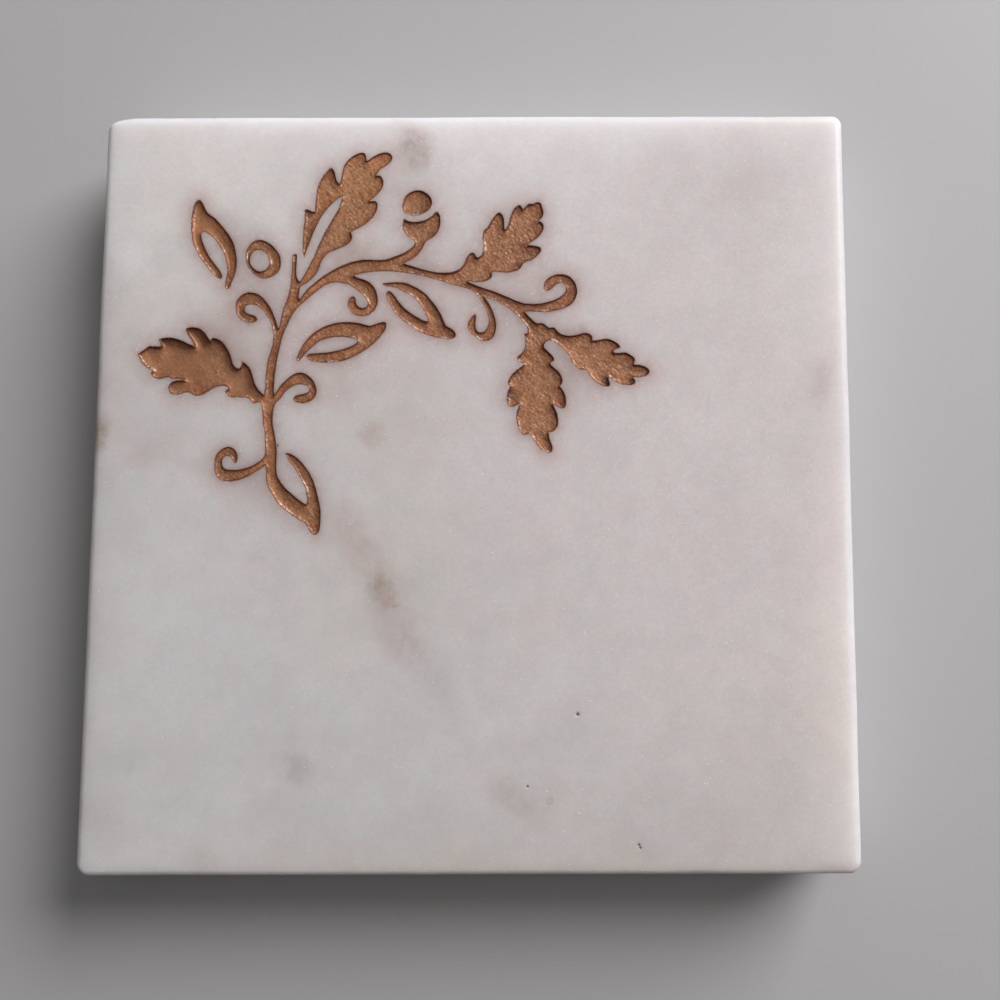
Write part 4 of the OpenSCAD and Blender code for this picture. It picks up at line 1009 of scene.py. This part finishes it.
    # Brown and pinkish inclusions.
    broken = g.span(g.noise(p, 0.95, 4.0, 0.65), 0.32, 0.66, 0.50, 1.0)
    stains = [
        (-8.0, 45.0, 2.5, 3.4, -10, 0.88, (0.46, 0.33, 0.30)),
        (-10.0, 48.6, 2.4, 1.6, 0, 0.36, (0.60, 0.45, 0.40)),
        (-13.3, 6.2, 2.0, 1.7, 10, 0.52, (0.52, 0.40, 0.37)),
        (-17.5, 13.5, 3.0, 3.4, 0, 0.26, (0.56, 0.45, 0.43)),
        (-17.2, 10.8, 2.8, 2.6, 0, 0.30, (0.55, 0.43, 0.41)),
        (-8.5, 8.0, 3.2, 2.6, 0, 0.20, (0.58, 0.48, 0.47)),
        (-16.2, -4.6, 3.2, 2.6, -40, 0.50, (0.57, 0.445, 0.430)),
        (-15.3, -7.9, 3.2, 2.8, -50, 0.50, (0.56, 0.435, 0.410)),
        (-12.9, -11.0, 3.4, 2.9, -50, 0.46, (0.53, 0.42, 0.40)),
        (-11.2, -14.3, 3.9, 3.0, -70, 0.52, (0.48, 0.385, 0.365)),
        (-11.6, -13.9, 2.3, 1.6, -62, 0.54, (0.39, 0.29, 0.23)),
        (-10.4, -15.2, 1.3, 0.9, -62, 0.44, (0.50, 0.35, 0.28)),
        (-9.6, -16.0, 0.45, 0.35, 0, 0.55, (0.45, 0.24, 0.20)),
        (-9.6, -18.8, 4.2, 3.4, -50, 0.50, (0.53, 0.43, 0.41)),
        (-8.2, -21.8, 3.6, 3.0, -40, 0.42, (0.53, 0.44, 0.425)),
        (-5.0, -25.0, 4.8, 3.0, -58, 0.28, (0.50, 0.45, 0.44)),
        (-2.0, -29.8, 3.8, 2.3, -65, 0.20, (0.50, 0.46, 0.45)),
        (-6.5, -14.5, 2.4, 2.0, 0, 0.22, (0.54, 0.51, 0.50)),
        (-21.9, -36.7, 2.1, 2.2, 20, 0.52, (0.43, 0.40, 0.40)),
        (-23.0, -33.0, 3.0, 2.8, 0, 0.14, (0.52, 0.50, 0.49)),
        (-26.2, -42.5, 3.2, 2.8, 0, 0.22, (0.54, 0.52, 0.46)),
        (-34.0, -48.5, 3.0, 1.6, 0, 0.30, (0.50, 0.44, 0.38)),
        (5.6, -40.2, 3.2, 2.8, -25, 0.44, (0.48, 0.43, 0.40)),
        (3.2, -38.6, 2.6, 2.2, 0, 0.26, (0.50, 0.44, 0.41)),
        (8.6, -42.6, 2.8, 2.2, 0, 0.22, (0.50, 0.45, 0.42)),
        (10.5, -39.8, 2.6, 1.8, 10, 0.20, (0.50, 0.47, 0.45)),
        (13.0, -32.0, 2.6, 2.2, 30, 0.20, (0.52, 0.50, 0.51)),
        (22.0, -46.8, 2.6, 1.8, 0, 0.24, (0.52, 0.47, 0.42)),
        (1.0, -20.0, 1.8, 1.4, 0, 0.20, (0.54, 0.52, 0.52)),
        (46.0, 13.0, 1.7, 3.8, -8, 0.48, (0.56, 0.42, 0.41)),
        (43.0, 2.4, 2.6, 3.4, 0, 0.20, (0.60, 0.50, 0.46)),
        (38.0, 41.0, 4.5, 3.4, 20, 0.24, (0.60, 0.49, 0.46)),
        (27.0, 31.0, 4.0, 3.0, 20, 0.10, (0.62, 0.53, 0.50)),
        (-42.5, 3.4, 4.4, 2.0, 10, 0.30, (0.52, 0.42, 0.40)),
        (-36.0, 2.0, 3.4, 1.6, -10, 0.18, (0.54, 0.46, 0.44)),
        (-49.6, 6.4, 2.2, 2.6, 0, 0.90, (0.33, 0.23, 0.165)),
        (-28.0, -9.8, 1.4, 1.6, 0, 0.22, (0.52, 0.47, 0.42)),
        (-45.5, -36.0, 4.2, 2.6, 30, 0.30, (0.47, 0.48, 0.43)),
        (-48.0, -17.0, 3.0, 3.0, 60, 0.22, (0.52, 0.49, 0.45)),
        (-47.5, -42.0, 3.4, 3.0, 0, 0.20, (0.50, 0.48, 0.44)),
        (47.5, -49.5, 3.4, 1.6, 0, 0.50, (0.55, 0.38, 0.33)),
    ]
    for x, y, rx, ry, angle, strength, tint in stains:
        mask = g.blob(near, x, y, rx * 1.35, ry * 1.35, angle, 0.12)
        colour = g.mix(g.math("MULTIPLY", g.math("MULTIPLY", mask, broken), strength), colour, tint)

    # A faint brown ring, and a few milk-white grains.
    around = g.math("SUBTRACT", g.blob(p, 10.3, -40.8, 0.62, 0.50, 60, 0.7), g.blob(p, 10.3, -40.8, 0.36, 0.26, 60, 0.5), clamp=True)
    colour = g.mix(g.math("MULTIPLY", around, 0.30), colour, (0.45, 0.33, 0.28))
    for x, y, r in ((9.9, -39.6, 0.20), (14.0, -42.3, 0.22), (8.1, -45.6, 0.16), (28.5, 22.0, 0.16), (-31.0, -12.5, 0.14), (33.0, -21.0, 0.18)):
        colour = g.mix(g.math("MULTIPLY", g.blob(p, x, y, r, r * 0.8, 40 * x, 0.4), 0.6), colour, (0.95, 0.94, 0.94))

    # Near black in four of the pits, and purple-brown in the fifth.
    pit = None
    for cx, cy, r, h in PITS[:4]:
        here = g.blob(p, cx, cy, r * 1.25, r * 1.1, 30 * cx, 0.45)
        pit = here if pit is None else g.math("MAXIMUM", pit, here)
    colour = g.mix(g.math("MULTIPLY", pit, 0.80), colour, (0.12, 0.11, 0.115))
    colour = g.mix(g.math("MULTIPLY", g.blob(p, -25.6, 4.7, 0.24, 0.42, 0, 0.3), 0.75), colour, (0.26, 0.16, 0.15))

    # Paint that has crept into the stone round the ornament: a dark seam, a stain, and a faint blush further out.
    reach = g.value("reach")
    patchy = g.noise(p, 0.75, 4.0, 0.6)
    halo = g.math("EXPONENT", g.math("MULTIPLY", g.math("MULTIPLY_ADD", g.noise(p, 1.1, 3.0, 0.6), 0.5, g.math("SUBTRACT", reach, 0.25)), -0.88))
    halo = g.math("MULTIPLY", g.math("MINIMUM", halo, 1.0), g.span(reach, 1.2, 3.4, 1.0, 0.0))
    halo = g.math("MULTIPLY", halo, g.span(patchy, 0.34, 0.66, 0.60, 1.10))
    colour = g.mix(g.math("MINIMUM", halo, 1.0), colour, (0.878, 0.700, 0.650), "MULTIPLY")
    creep = g.span(g.math("ADD", reach, g.math("MULTIPLY", g.noise(p, 2.6, 4.0, 0.7), 0.22)), 0.08, 0.24, 1.0, 0.0)
    colour = g.mix(g.math("MULTIPLY", creep, 0.55), colour, (0.42, 0.190, 0.130))

    # Crystal faces that catch the light, painted as whitened spots of highlight with lower roughness, more of them
    # towards the upper right where the lamp is.
    spot = g.cells(p, 2.9)
    parts = g.node("ShaderNodeSeparateColor")
    g.put(g.cells(p, 2.9, want="Color"), parts.inputs[0])
    limit = g.span(g.math("ADD", side, g.math("MULTIPLY", g.math("SUBTRACT", g.noise(p, 0.09, 2.0), 0.5), 0.8)), -0.8, 0.8, 0.945, 0.79)
    lit = g.math("GREATER_THAN", parts.outputs[1], limit)
    size = g.math("MULTIPLY_ADD", parts.outputs[2], 0.16, 0.22)
    painted_glint = g.math("MULTIPLY", lit, g.span(spot, g.math("MULTIPLY", size, 0.25), size, 1.0, 0.0))
    painted_glint = g.math("MULTIPLY", painted_glint, g.math("MULTIPLY_ADD", g.math("POWER", parts.outputs[0], 2.5), 0.85, g.span(side, -0.6, 0.8, 0.10, 0.31)))
    colour = g.mix(painted_glint, colour, (0.97, 0.97, 0.985))

    # Along the back and right edges, which face the lamp, the colour is painted whiter as a painted glow of light
    # through the translucent stone, held back at the very edge, and within 1.5 mm of the edge tinted bluer as part of
    # the same painted highlight.
    place = g.node("ShaderNodeSeparateXYZ")
    g.put(p, place.inputs[0])
    for axis, strength in ((1, 0.54), (0, 0.40)):
        from_edge = g.math("SUBTRACT", 50.0, place.outputs[axis])
        white = g.math("MULTIPLY", g.math("EXPONENT", g.math("MULTIPLY", from_edge, -0.30)), g.span(from_edge, 0.1, 1.2, 0.45, 1.0))
        colour = g.mix(g.math("MULTIPLY", white, strength), colour, (0.90, 0.905, 0.925))
        colour = g.mix(g.span(from_edge, 0.3, 1.5, 1.0, 0.0), colour, (0.855, 0.885, 0.930), "MULTIPLY")

    b = g.bsdf
    g.put(colour, b.inputs["Base Color"])
    rough = g.math("ADD", g.span(g.noise(p, 0.55, 4.0, 0.6), 0.3, 0.7, 0.36, 0.50), g.math("MULTIPLY", painted_glint, -0.20))
    g.put(rough, b.inputs["Roughness"])
    b.inputs["Specular IOR Level"].default_value = 0.42
    b.inputs["IOR"].default_value = 1.49
    b.inputs["Subsurface Weight"].default_value = 0.75
    b.inputs["Subsurface Radius"].default_value = (1.0, 0.86, 0.78)
    b.inputs["Subsurface Scale"].default_value = 0.0042
    b.subsurface_method = "RANDOM_WALK"
    height = g.math("ADD", g.math("MULTIPLY", g.noise(p, 2.6, 4.0, 0.6), 0.6), g.math("MULTIPLY", split.outputs[1], 0.12))
    g.put(g.bump(height, 0.30, 0.00003), b.inputs["Normal"])
    return g.mat


def gilding_material():
    g = Graph("gilding_copper_gold")
    p = g.millimetres()
    inset, pool, toward = g.value("inset"), g.value("pool"), g.value("toward")
    turned = g.node("ShaderNodeVectorRotate", rotation_type="Z_AXIS")
    g.put(p, turned.inputs["Vector"])
    turned.inputs["Angle"].default_value = math.radians(45)
    along = g.vec("MULTIPLY", turned.outputs["Vector"], (0.8, 1.1, 1.0))
    brushed = g.vec("MULTIPLY", turned.outputs["Vector"], (0.30, 1.6, 1.0))
    sandy = g.math("MULTIPLY_ADD", pool, -0.62, 1.0)
    broad = g.noise(p, 0.30, 3.0, 0.6)
    grain = g.noise(along, 3.9, 3.0, 0.65)
    colour = g.mix(g.span(broad, 0.35, 0.65), (0.388, 0.170, 0.080), (0.452, 0.210, 0.104))
    # The left leaves are browner, the right ones a little pinker.
    colour = g.mix(g.span(g.vec("DOT_PRODUCT", p, (1.0, 0.0, 0.0)), -16.0, 8.0, 0.0, 0.6), colour, (0.375, 0.163, 0.080))
    # Paler on the stem, the top leaf and the open leaf at the upper left.
    for x, y, rx, ry, angle, cast in ((-13.5, 41.0, 10.0, 8.0, 0, (1.22, 1.26, 1.22)), (-24.5, 41.5, 7.0, 7.0, 0, (1.20, 1.30, 1.26)), (-6.0, 36.0, 5.0, 6.0, 0, (0.86, 0.88, 0.88)), (-27.0, 7.0, 3.0, 14.0, 0, (1.24, 1.26, 1.26)), (-22.0, 25.0, 4.5, 9.0, -20, (1.22, 1.24, 1.24)),
                                      (-23.5, -2.0, 5.0, 6.0, 0, (1.10, 1.10, 1.10)), (-36.0, 33.0, 6.0, 8.0, 0, (1.28, 1.30, 1.28)), (-11.0, 23.5, 10.0, 6.0, 0, (1.12, 1.13, 1.12)),
                                      (10.0, 27.0, 12.0, 11.0, 0, (0.83, 0.80, 0.82)), (24.5, 21.0, 9.0, 7.0, 0, (0.84, 0.80, 0.80)),
                                      (16.0, 12.0, 9.0, 7.0, 0, (0.94, 0.92, 0.90)), (24.0, 13.0, 9.0, 6.0, 0, (0.90, 0.86, 0.86))):
        colour = g.mix(g.blob(p, x, y, rx, ry, angle, 0.3), colour, cast, "MULTIPLY")
    colour = g.mix(g.math("MULTIPLY", g.math("MULTIPLY", g.span(grain, 0.53, 0.65), 0.38), sandy), colour, (0.72, 0.46, 0.30))
    colour = g.mix(g.math("MULTIPLY", g.math("MULTIPLY", g.span(grain, 0.47, 0.34), 0.52), sandy), colour, (0.160, 0.062, 0.031))
    sand = g.noise(p, 6.5, 2.0, 0.6)
    colour = g.mix(sandy, colour, g.mix(g.span(sand, 0.36, 0.64), (0.90, 0.89, 0.88), (1.11, 1.12, 1.13)), "MULTIPLY")
    # Short pale strokes of the brush, painted lighter partly as the glint off their ridges.
    brush_glint_dashes = g.noise(g.vec("MULTIPLY", turned.outputs["Vector"], (0.55, 1.5, 1.0)), 2.9, 2.0, 0.5)
    colour = g.mix(g.math("MULTIPLY", g.math("MULTIPLY", g.span(brush_glint_dashes, 0.60, 0.67), 0.42), sandy), colour, (0.80, 0.55, 0.36))
    strokes = g.noise(brushed, 1.8, 3.0, 0.6)
    colour = g.mix(g.math("MULTIPLY_ADD", pool, -0.75, 1.0), colour, g.mix(g.span(strokes, 0.35, 0.65), (0.92, 0.91, 0.90), (1.08, 1.09, 1.10)), "MULTIPLY")
    # Redder in some places, a little paler in the middle of the broad leaves.
    colour = g.mix(g.math("MULTIPLY", g.span(g.noise(p, 0.27, 3.0, 0.6), 0.50, 0.68), 0.60), colour, (0.86, 0.70, 0.62), "MULTIPLY")
    colour = g.mix(g.span(inset, 0.7, 1.8), colour, (1.04, 1.06, 1.07), "MULTIPLY")
    # Redder and darker inside the rims whose walls face away from the lamp: mostly painted shade of those walls, partly
    # thin paint over them.
    shade_and_thin_paint = g.span(g.math("ADD", inset, g.math("MULTIPLY", g.noise(p, 0.9, 3.0, 0.6), 0.6)), 0.35, 1.45, 1.0, 0.0)
    shade_and_thin_paint = g.math("MULTIPLY", shade_and_thin_paint, g.span(toward, -0.6, 0.7, 0.80, 0.22))
    colour = g.mix(shade_and_thin_paint, colour, (0.69, 0.58, 0.54), "MULTIPLY")
    # Walls that face away from the lamp are painted lighter as painted fill light in their shade; walls that face the
    # lamp are painted darker to hold down their highlight.
    wall = g.span(g.math("ADD", inset, g.math("MULTIPLY", g.noise(p, 1.7, 3.0, 0.6), 0.14)), g.span(toward, -0.2, 0.7, 0.30, 0.22), g.span(toward, -0.2, 0.7, 0.95, 0.40), 1.0, 0.0)
    colour = g.mix(wall, colour, g.mix(g.span(toward, -0.3, 0.7), (1.36, 1.24, 1.18), (0.46, 0.38, 0.34)), "MULTIPLY")
    # A dark line at the very rim, wider and stronger on the shaded side, where it is partly painted shade.
    edge = g.span(g.math("ADD", inset, g.math("MULTIPLY", g.noise(p, 3.3, 3.0, 0.6), 0.09)), g.span(toward, -0.3, 0.6, 0.12, 0.08), g.span(toward, -0.3, 0.6, 0.25, 0.18), 1.0, 0.0)
    colour = g.mix(g.math("MULTIPLY", edge, g.span(toward, -0.4, 0.6, 0.66, 0.56)), colour, (0.130, 0.052, 0.036))
    # Near-black patches, broken up by noise, in a few deep places.
    for x, y, rx, ry, angle, strength in ((4.9, 11.3, 1.2, 1.6, 10, 0.75), (5.3, 14.5, 1.3, 1.0, 20, 0.6), (17.7, 13.3, 1.0, 0.7, -20, 0.8),
                                          (6.6, 19.1, 0.7, 0.9, 0, 0.5), (-36.6, 21.0, 1.0, 0.7, -30, 0.3), (-8.9, 20.6, 0.7, 0.4, -30, 0.5),
                                          (-27.2, 12.6, 0.35, 0.3, 0, 0.7), (1.2, 19.0, 1.0, 0.8, 0, 0.35), (20.2, 16.2, 0.8, 0.5, 0, 0.3)):
        patch = g.math("MULTIPLY", g.blob(p, x, y, rx, ry, angle, 0.3), g.span(g.noise(p, 3.6, 2.0), 0.36, 0.56, 1.0, 0.15))
        colour = g.mix(g.math("MULTIPLY", patch, strength), colour, (0.060, 0.035, 0.028))
    # Dark brown over the two upper lobes of the leaf on the left and the upper tip of the open one, where the recess is
    # deepest: partly a brown wash of the paint, partly painted shade.
    for x, y, rx, ry, angle, strength in ((-41.5, 19.0, 3.6, 2.2, 15, 0.55), (-35.6, 20.6, 3.0, 2.4, -30, 0.50), (-38.6, 36.6, 1.8, 2.6, 20, 0.45), (-33.6, 31.5, 1.8, 3.4, 30, 0.25)):
        colour = g.mix(g.math("MULTIPLY", g.blob(p, x, y, rx, ry, angle, 0.2), strength), colour, (0.190, 0.078, 0.042))
    speck = g.cells(p, 2.1)
    few = g.node("ShaderNodeSeparateColor")
    g.put(g.cells(p, 2.1, want="Color"), few.inputs[0])
    spots = g.math("MULTIPLY", g.math("GREATER_THAN", few.outputs[0], 0.955), g.span(speck, 0.08, 0.18, 1.0, 0.0))
    colour = g.mix(g.math("MULTIPLY", spots, 0.6), colour, (0.09, 0.045, 0.03))
    # Chipped paint, pale, set only on the walls that face the upper right towards the lamp, so partly painted
    # highlight; and loose pale flecks in the paint, partly painted sparkle.
    chipped = g.span(g.math("ADD", g.noise(p, 3.0, 3.0, 0.7), g.math("MULTIPLY", g.math("SUBTRACT", g.noise(p, 0.35, 2.0), 0.5), 0.80)), 0.575, 0.63)
    band = g.math("MULTIPLY", g.span(inset, 0.05, 0.10), g.span(inset, 0.26, 0.42, 1.0, 0.0))
    chips_and_highlight = g.math("MULTIPLY", g.math("MULTIPLY", chipped, band), g.span(toward, 0.20, 0.70))
    colour = g.mix(g.math("MULTIPLY", chips_and_highlight, 0.70), colour, (0.62, 0.45, 0.35))
    # Loose pale flecks: partly the paint's own flecks, partly painted sparkle.
    flake = g.cells(p, 2.9)
    some = g.node("ShaderNodeSeparateColor")
    g.put(g.cells(p, 2.9, want="Color"), some.inputs[0])
    flakes_and_sparkle = g.math("MULTIPLY", g.math("GREATER_THAN", some.outputs[0], 0.90), g.span(flake, 0.10, 0.26, 1.0, 0.0))
    colour = g.mix(g.math("MULTIPLY", g.math("MULTIPLY", flakes_and_sparkle, 0.55), sandy), colour, (0.82, 0.58, 0.42))
    b = g.bsdf
    g.put(colour, b.inputs["Base Color"])
    b.inputs["Metallic"].default_value = 0.45
    rough = g.math("ADD", g.span(g.noise(p, 1.4, 3.0, 0.6), 0.3, 0.7, 0.42, 0.56), g.math("MULTIPLY", edge, 0.25))
    g.put(rough, b.inputs["Roughness"])
    b.inputs["Specular IOR Level"].default_value = 0.5
    height = g.math("ADD", g.math("MULTIPLY", g.noise(along, 3.8, 3.0, 0.65), 0.85), g.math("MULTIPLY", g.noise(p, 8.0, 2.0), 0.30))
    g.put(g.bump(g.math("MULTIPLY", height, sandy), 0.70, 0.00006), b.inputs["Normal"])
    return g.mat


def pad_material():
    g = Graph("pad_milky_polyurethane")
    p = g.millimetres()
    haze = g.noise(p, 0.7, 4.0, 0.6)
    colour = g.mix(g.span(haze, 0.35, 0.65), (0.72, 0.71, 0.66), (0.80, 0.79, 0.75))
    dust = g.math("GREATER_THAN", g.noise(p, 4.0, 2.0), 0.70)
    colour = g.mix(g.math("MULTIPLY", dust, 0.25), colour, (0.42, 0.40, 0.37))
    b = g.bsdf
    g.put(colour, b.inputs["Base Color"])
    g.put(g.span(haze, 0.3, 0.7, 0.38, 0.55), b.inputs["Roughness"])
    b.inputs["Subsurface Weight"].default_value = 0.6
    b.inputs["Subsurface Radius"].default_value = (1.0, 0.95, 0.85)
    b.inputs["Subsurface Scale"].default_value = 0.0015
    g.put(g.bump(g.noise(p, 3.0, 3.0, 0.6), 0.35, 0.00005), b.inputs["Normal"])
    return g.mat


def adhesive_material():
    g = Graph("adhesive_acrylic_film")
    p = g.millimetres()
    fibres = g.noise(g.vec("MULTIPLY", p, (0.4, 2.2, 1.0)), 1.8, 4.0, 0.6)
    colour = g.mix(g.span(fibres, 0.35, 0.7), (0.78, 0.76, 0.68), (0.86, 0.85, 0.80))
    b = g.bsdf
    g.put(colour, b.inputs["Base Color"])
    g.put(g.span(fibres, 0.3, 0.7, 0.5, 0.7), b.inputs["Roughness"])
    g.put(g.bump(fibres, 0.3, 0.00004), b.inputs["Normal"])
    return g.mat


def floor_material():
    g = Graph("floor_plain")
    p = g.millimetres()
    b = g.bsdf
    g.put(g.mix(g.noise(p, 0.02, 2.0), (0.485, 0.480, 0.480), (0.505, 0.500, 0.500)), b.inputs["Base Color"])
    b.inputs["Roughness"].default_value = 0.55
    return g.mat


# ---------------------------------------------------------------- the object

marble, gilding = marble_material(), gilding_material()
pad_look, adhesive_look = pad_material(), adhesive_material()

stone, verts_s, f_s, node_of, lab = build_stone(marble)
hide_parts("marble_slab")
films = [build_film(k, (verts_s, f_s, node_of, lab), gilding) for k in range(len(GILDINGS))]

PAD = [(0, 0.10), (1.6, 0.09), (3.0, 0.06), (3.9, 0.02), (4.25, 0.0), (4.5, 0.0), (4.68, 0.05), (4.82, 0.15), (4.92, 0.30), (4.965, 0.5),
       (4.98, 0.8), (4.975, 1.1), (4.95, 1.32), (4.88, 1.50), (4.76, 1.64), (4.60, 1.74), (4.42, 1.79), (4.2, 1.80), (2.4, 1.80), (0, 1.80)]
TAPE = [(0, 1.80), (2.4, 1.80), (4.70, 1.80), (4.76, 1.83), (4.785, 1.90), (4.76, 1.97), (4.70, 2.0), (2.4, 2.0), (0, 2.0)]
for a, cy in (("front", -38.0), ("back", 38.0)):
    for b, cx in (("left", -38.0), ("right", 38.0)):
        v, f = lathe(PAD, cx, cy, 96, 0.0012, 11 + int(cx > 0) + 2 * int(cy > 0))
        o = make(f"pad_{a}_{b}_bumper", v, f, pad_look)
        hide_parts(f"pad_{a}_{b}")
        v, f = lathe(TAPE, cx, cy, 96, 0.0022, 31 + int(cx > 0) + 2 * int(cy > 0))
        o = make(f"adhesive_{a}_{b}_disc", v, f, adhesive_look)
        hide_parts(f"adhesive_{a}_{b}")

# ---------------------------------------------------------------- floor, light and camera

me = bpy.data.meshes.new("floor")
me.from_pydata([(-3, -3, 0), (3, -3, 0), (3, 3, 0), (-3, 3, 0)], [], [(0, 1, 2, 3)])
floor = bpy.data.objects.new("floor", me)
bpy.context.scene.collection.objects.link(floor)
me.materials.append(floor_material())

scene = bpy.context.scene
scene.view_settings.view_transform = "Standard"
scene.view_settings.look = "None"
world = bpy.data.worlds.new("studio")
scene.world = world
world.use_nodes = True
world.node_tree.nodes["Background"].inputs["Color"].default_value = (1.0, 0.98, 0.97, 1)
world.node_tree.nodes["Background"].inputs["Strength"].default_value = 0.022


def lamp(name, place, aim, size, watts, colour):
    data = bpy.data.lights.new(name, "AREA")
    data.shape, data.size = "DISK", size
    data.energy, data.color = watts, colour
    ob = bpy.data.objects.new(name, data)
    ob.location = place
    ob.rotation_euler = (Vector(aim) - Vector(place)).to_track_quat("-Z", "Y").to_euler()
    scene.collection.objects.link(ob)
    return ob


lamp("window", (0.98, 1.03, 0.76), (0.0, 0.0, 0.0), 1.25, 37.5, (1.0, 0.982, 0.985))
lamp("ceiling", (0.1, 0.15, 1.0), (0, 0, 0), 0.9, 1.8, (1.0, 0.985, 0.975))

camera_data = bpy.data.cameras.new("camera")
camera_data.sensor_width, camera_data.lens = 36.0, 36.0
camera_data.shift_x, camera_data.shift_y = -0.081, -0.034
camera_data.clip_start, camera_data.clip_end = 0.002, 20.0
camera = bpy.data.objects.new("camera", camera_data)
camera.location = (14.26 * MM, -10.18 * MM, 142.63 * MM)
camera.rotation_euler = (math.radians(5.325), math.radians(-0.011), math.radians(-0.132))
scene.collection.objects.link(camera)
scene.camera = camera
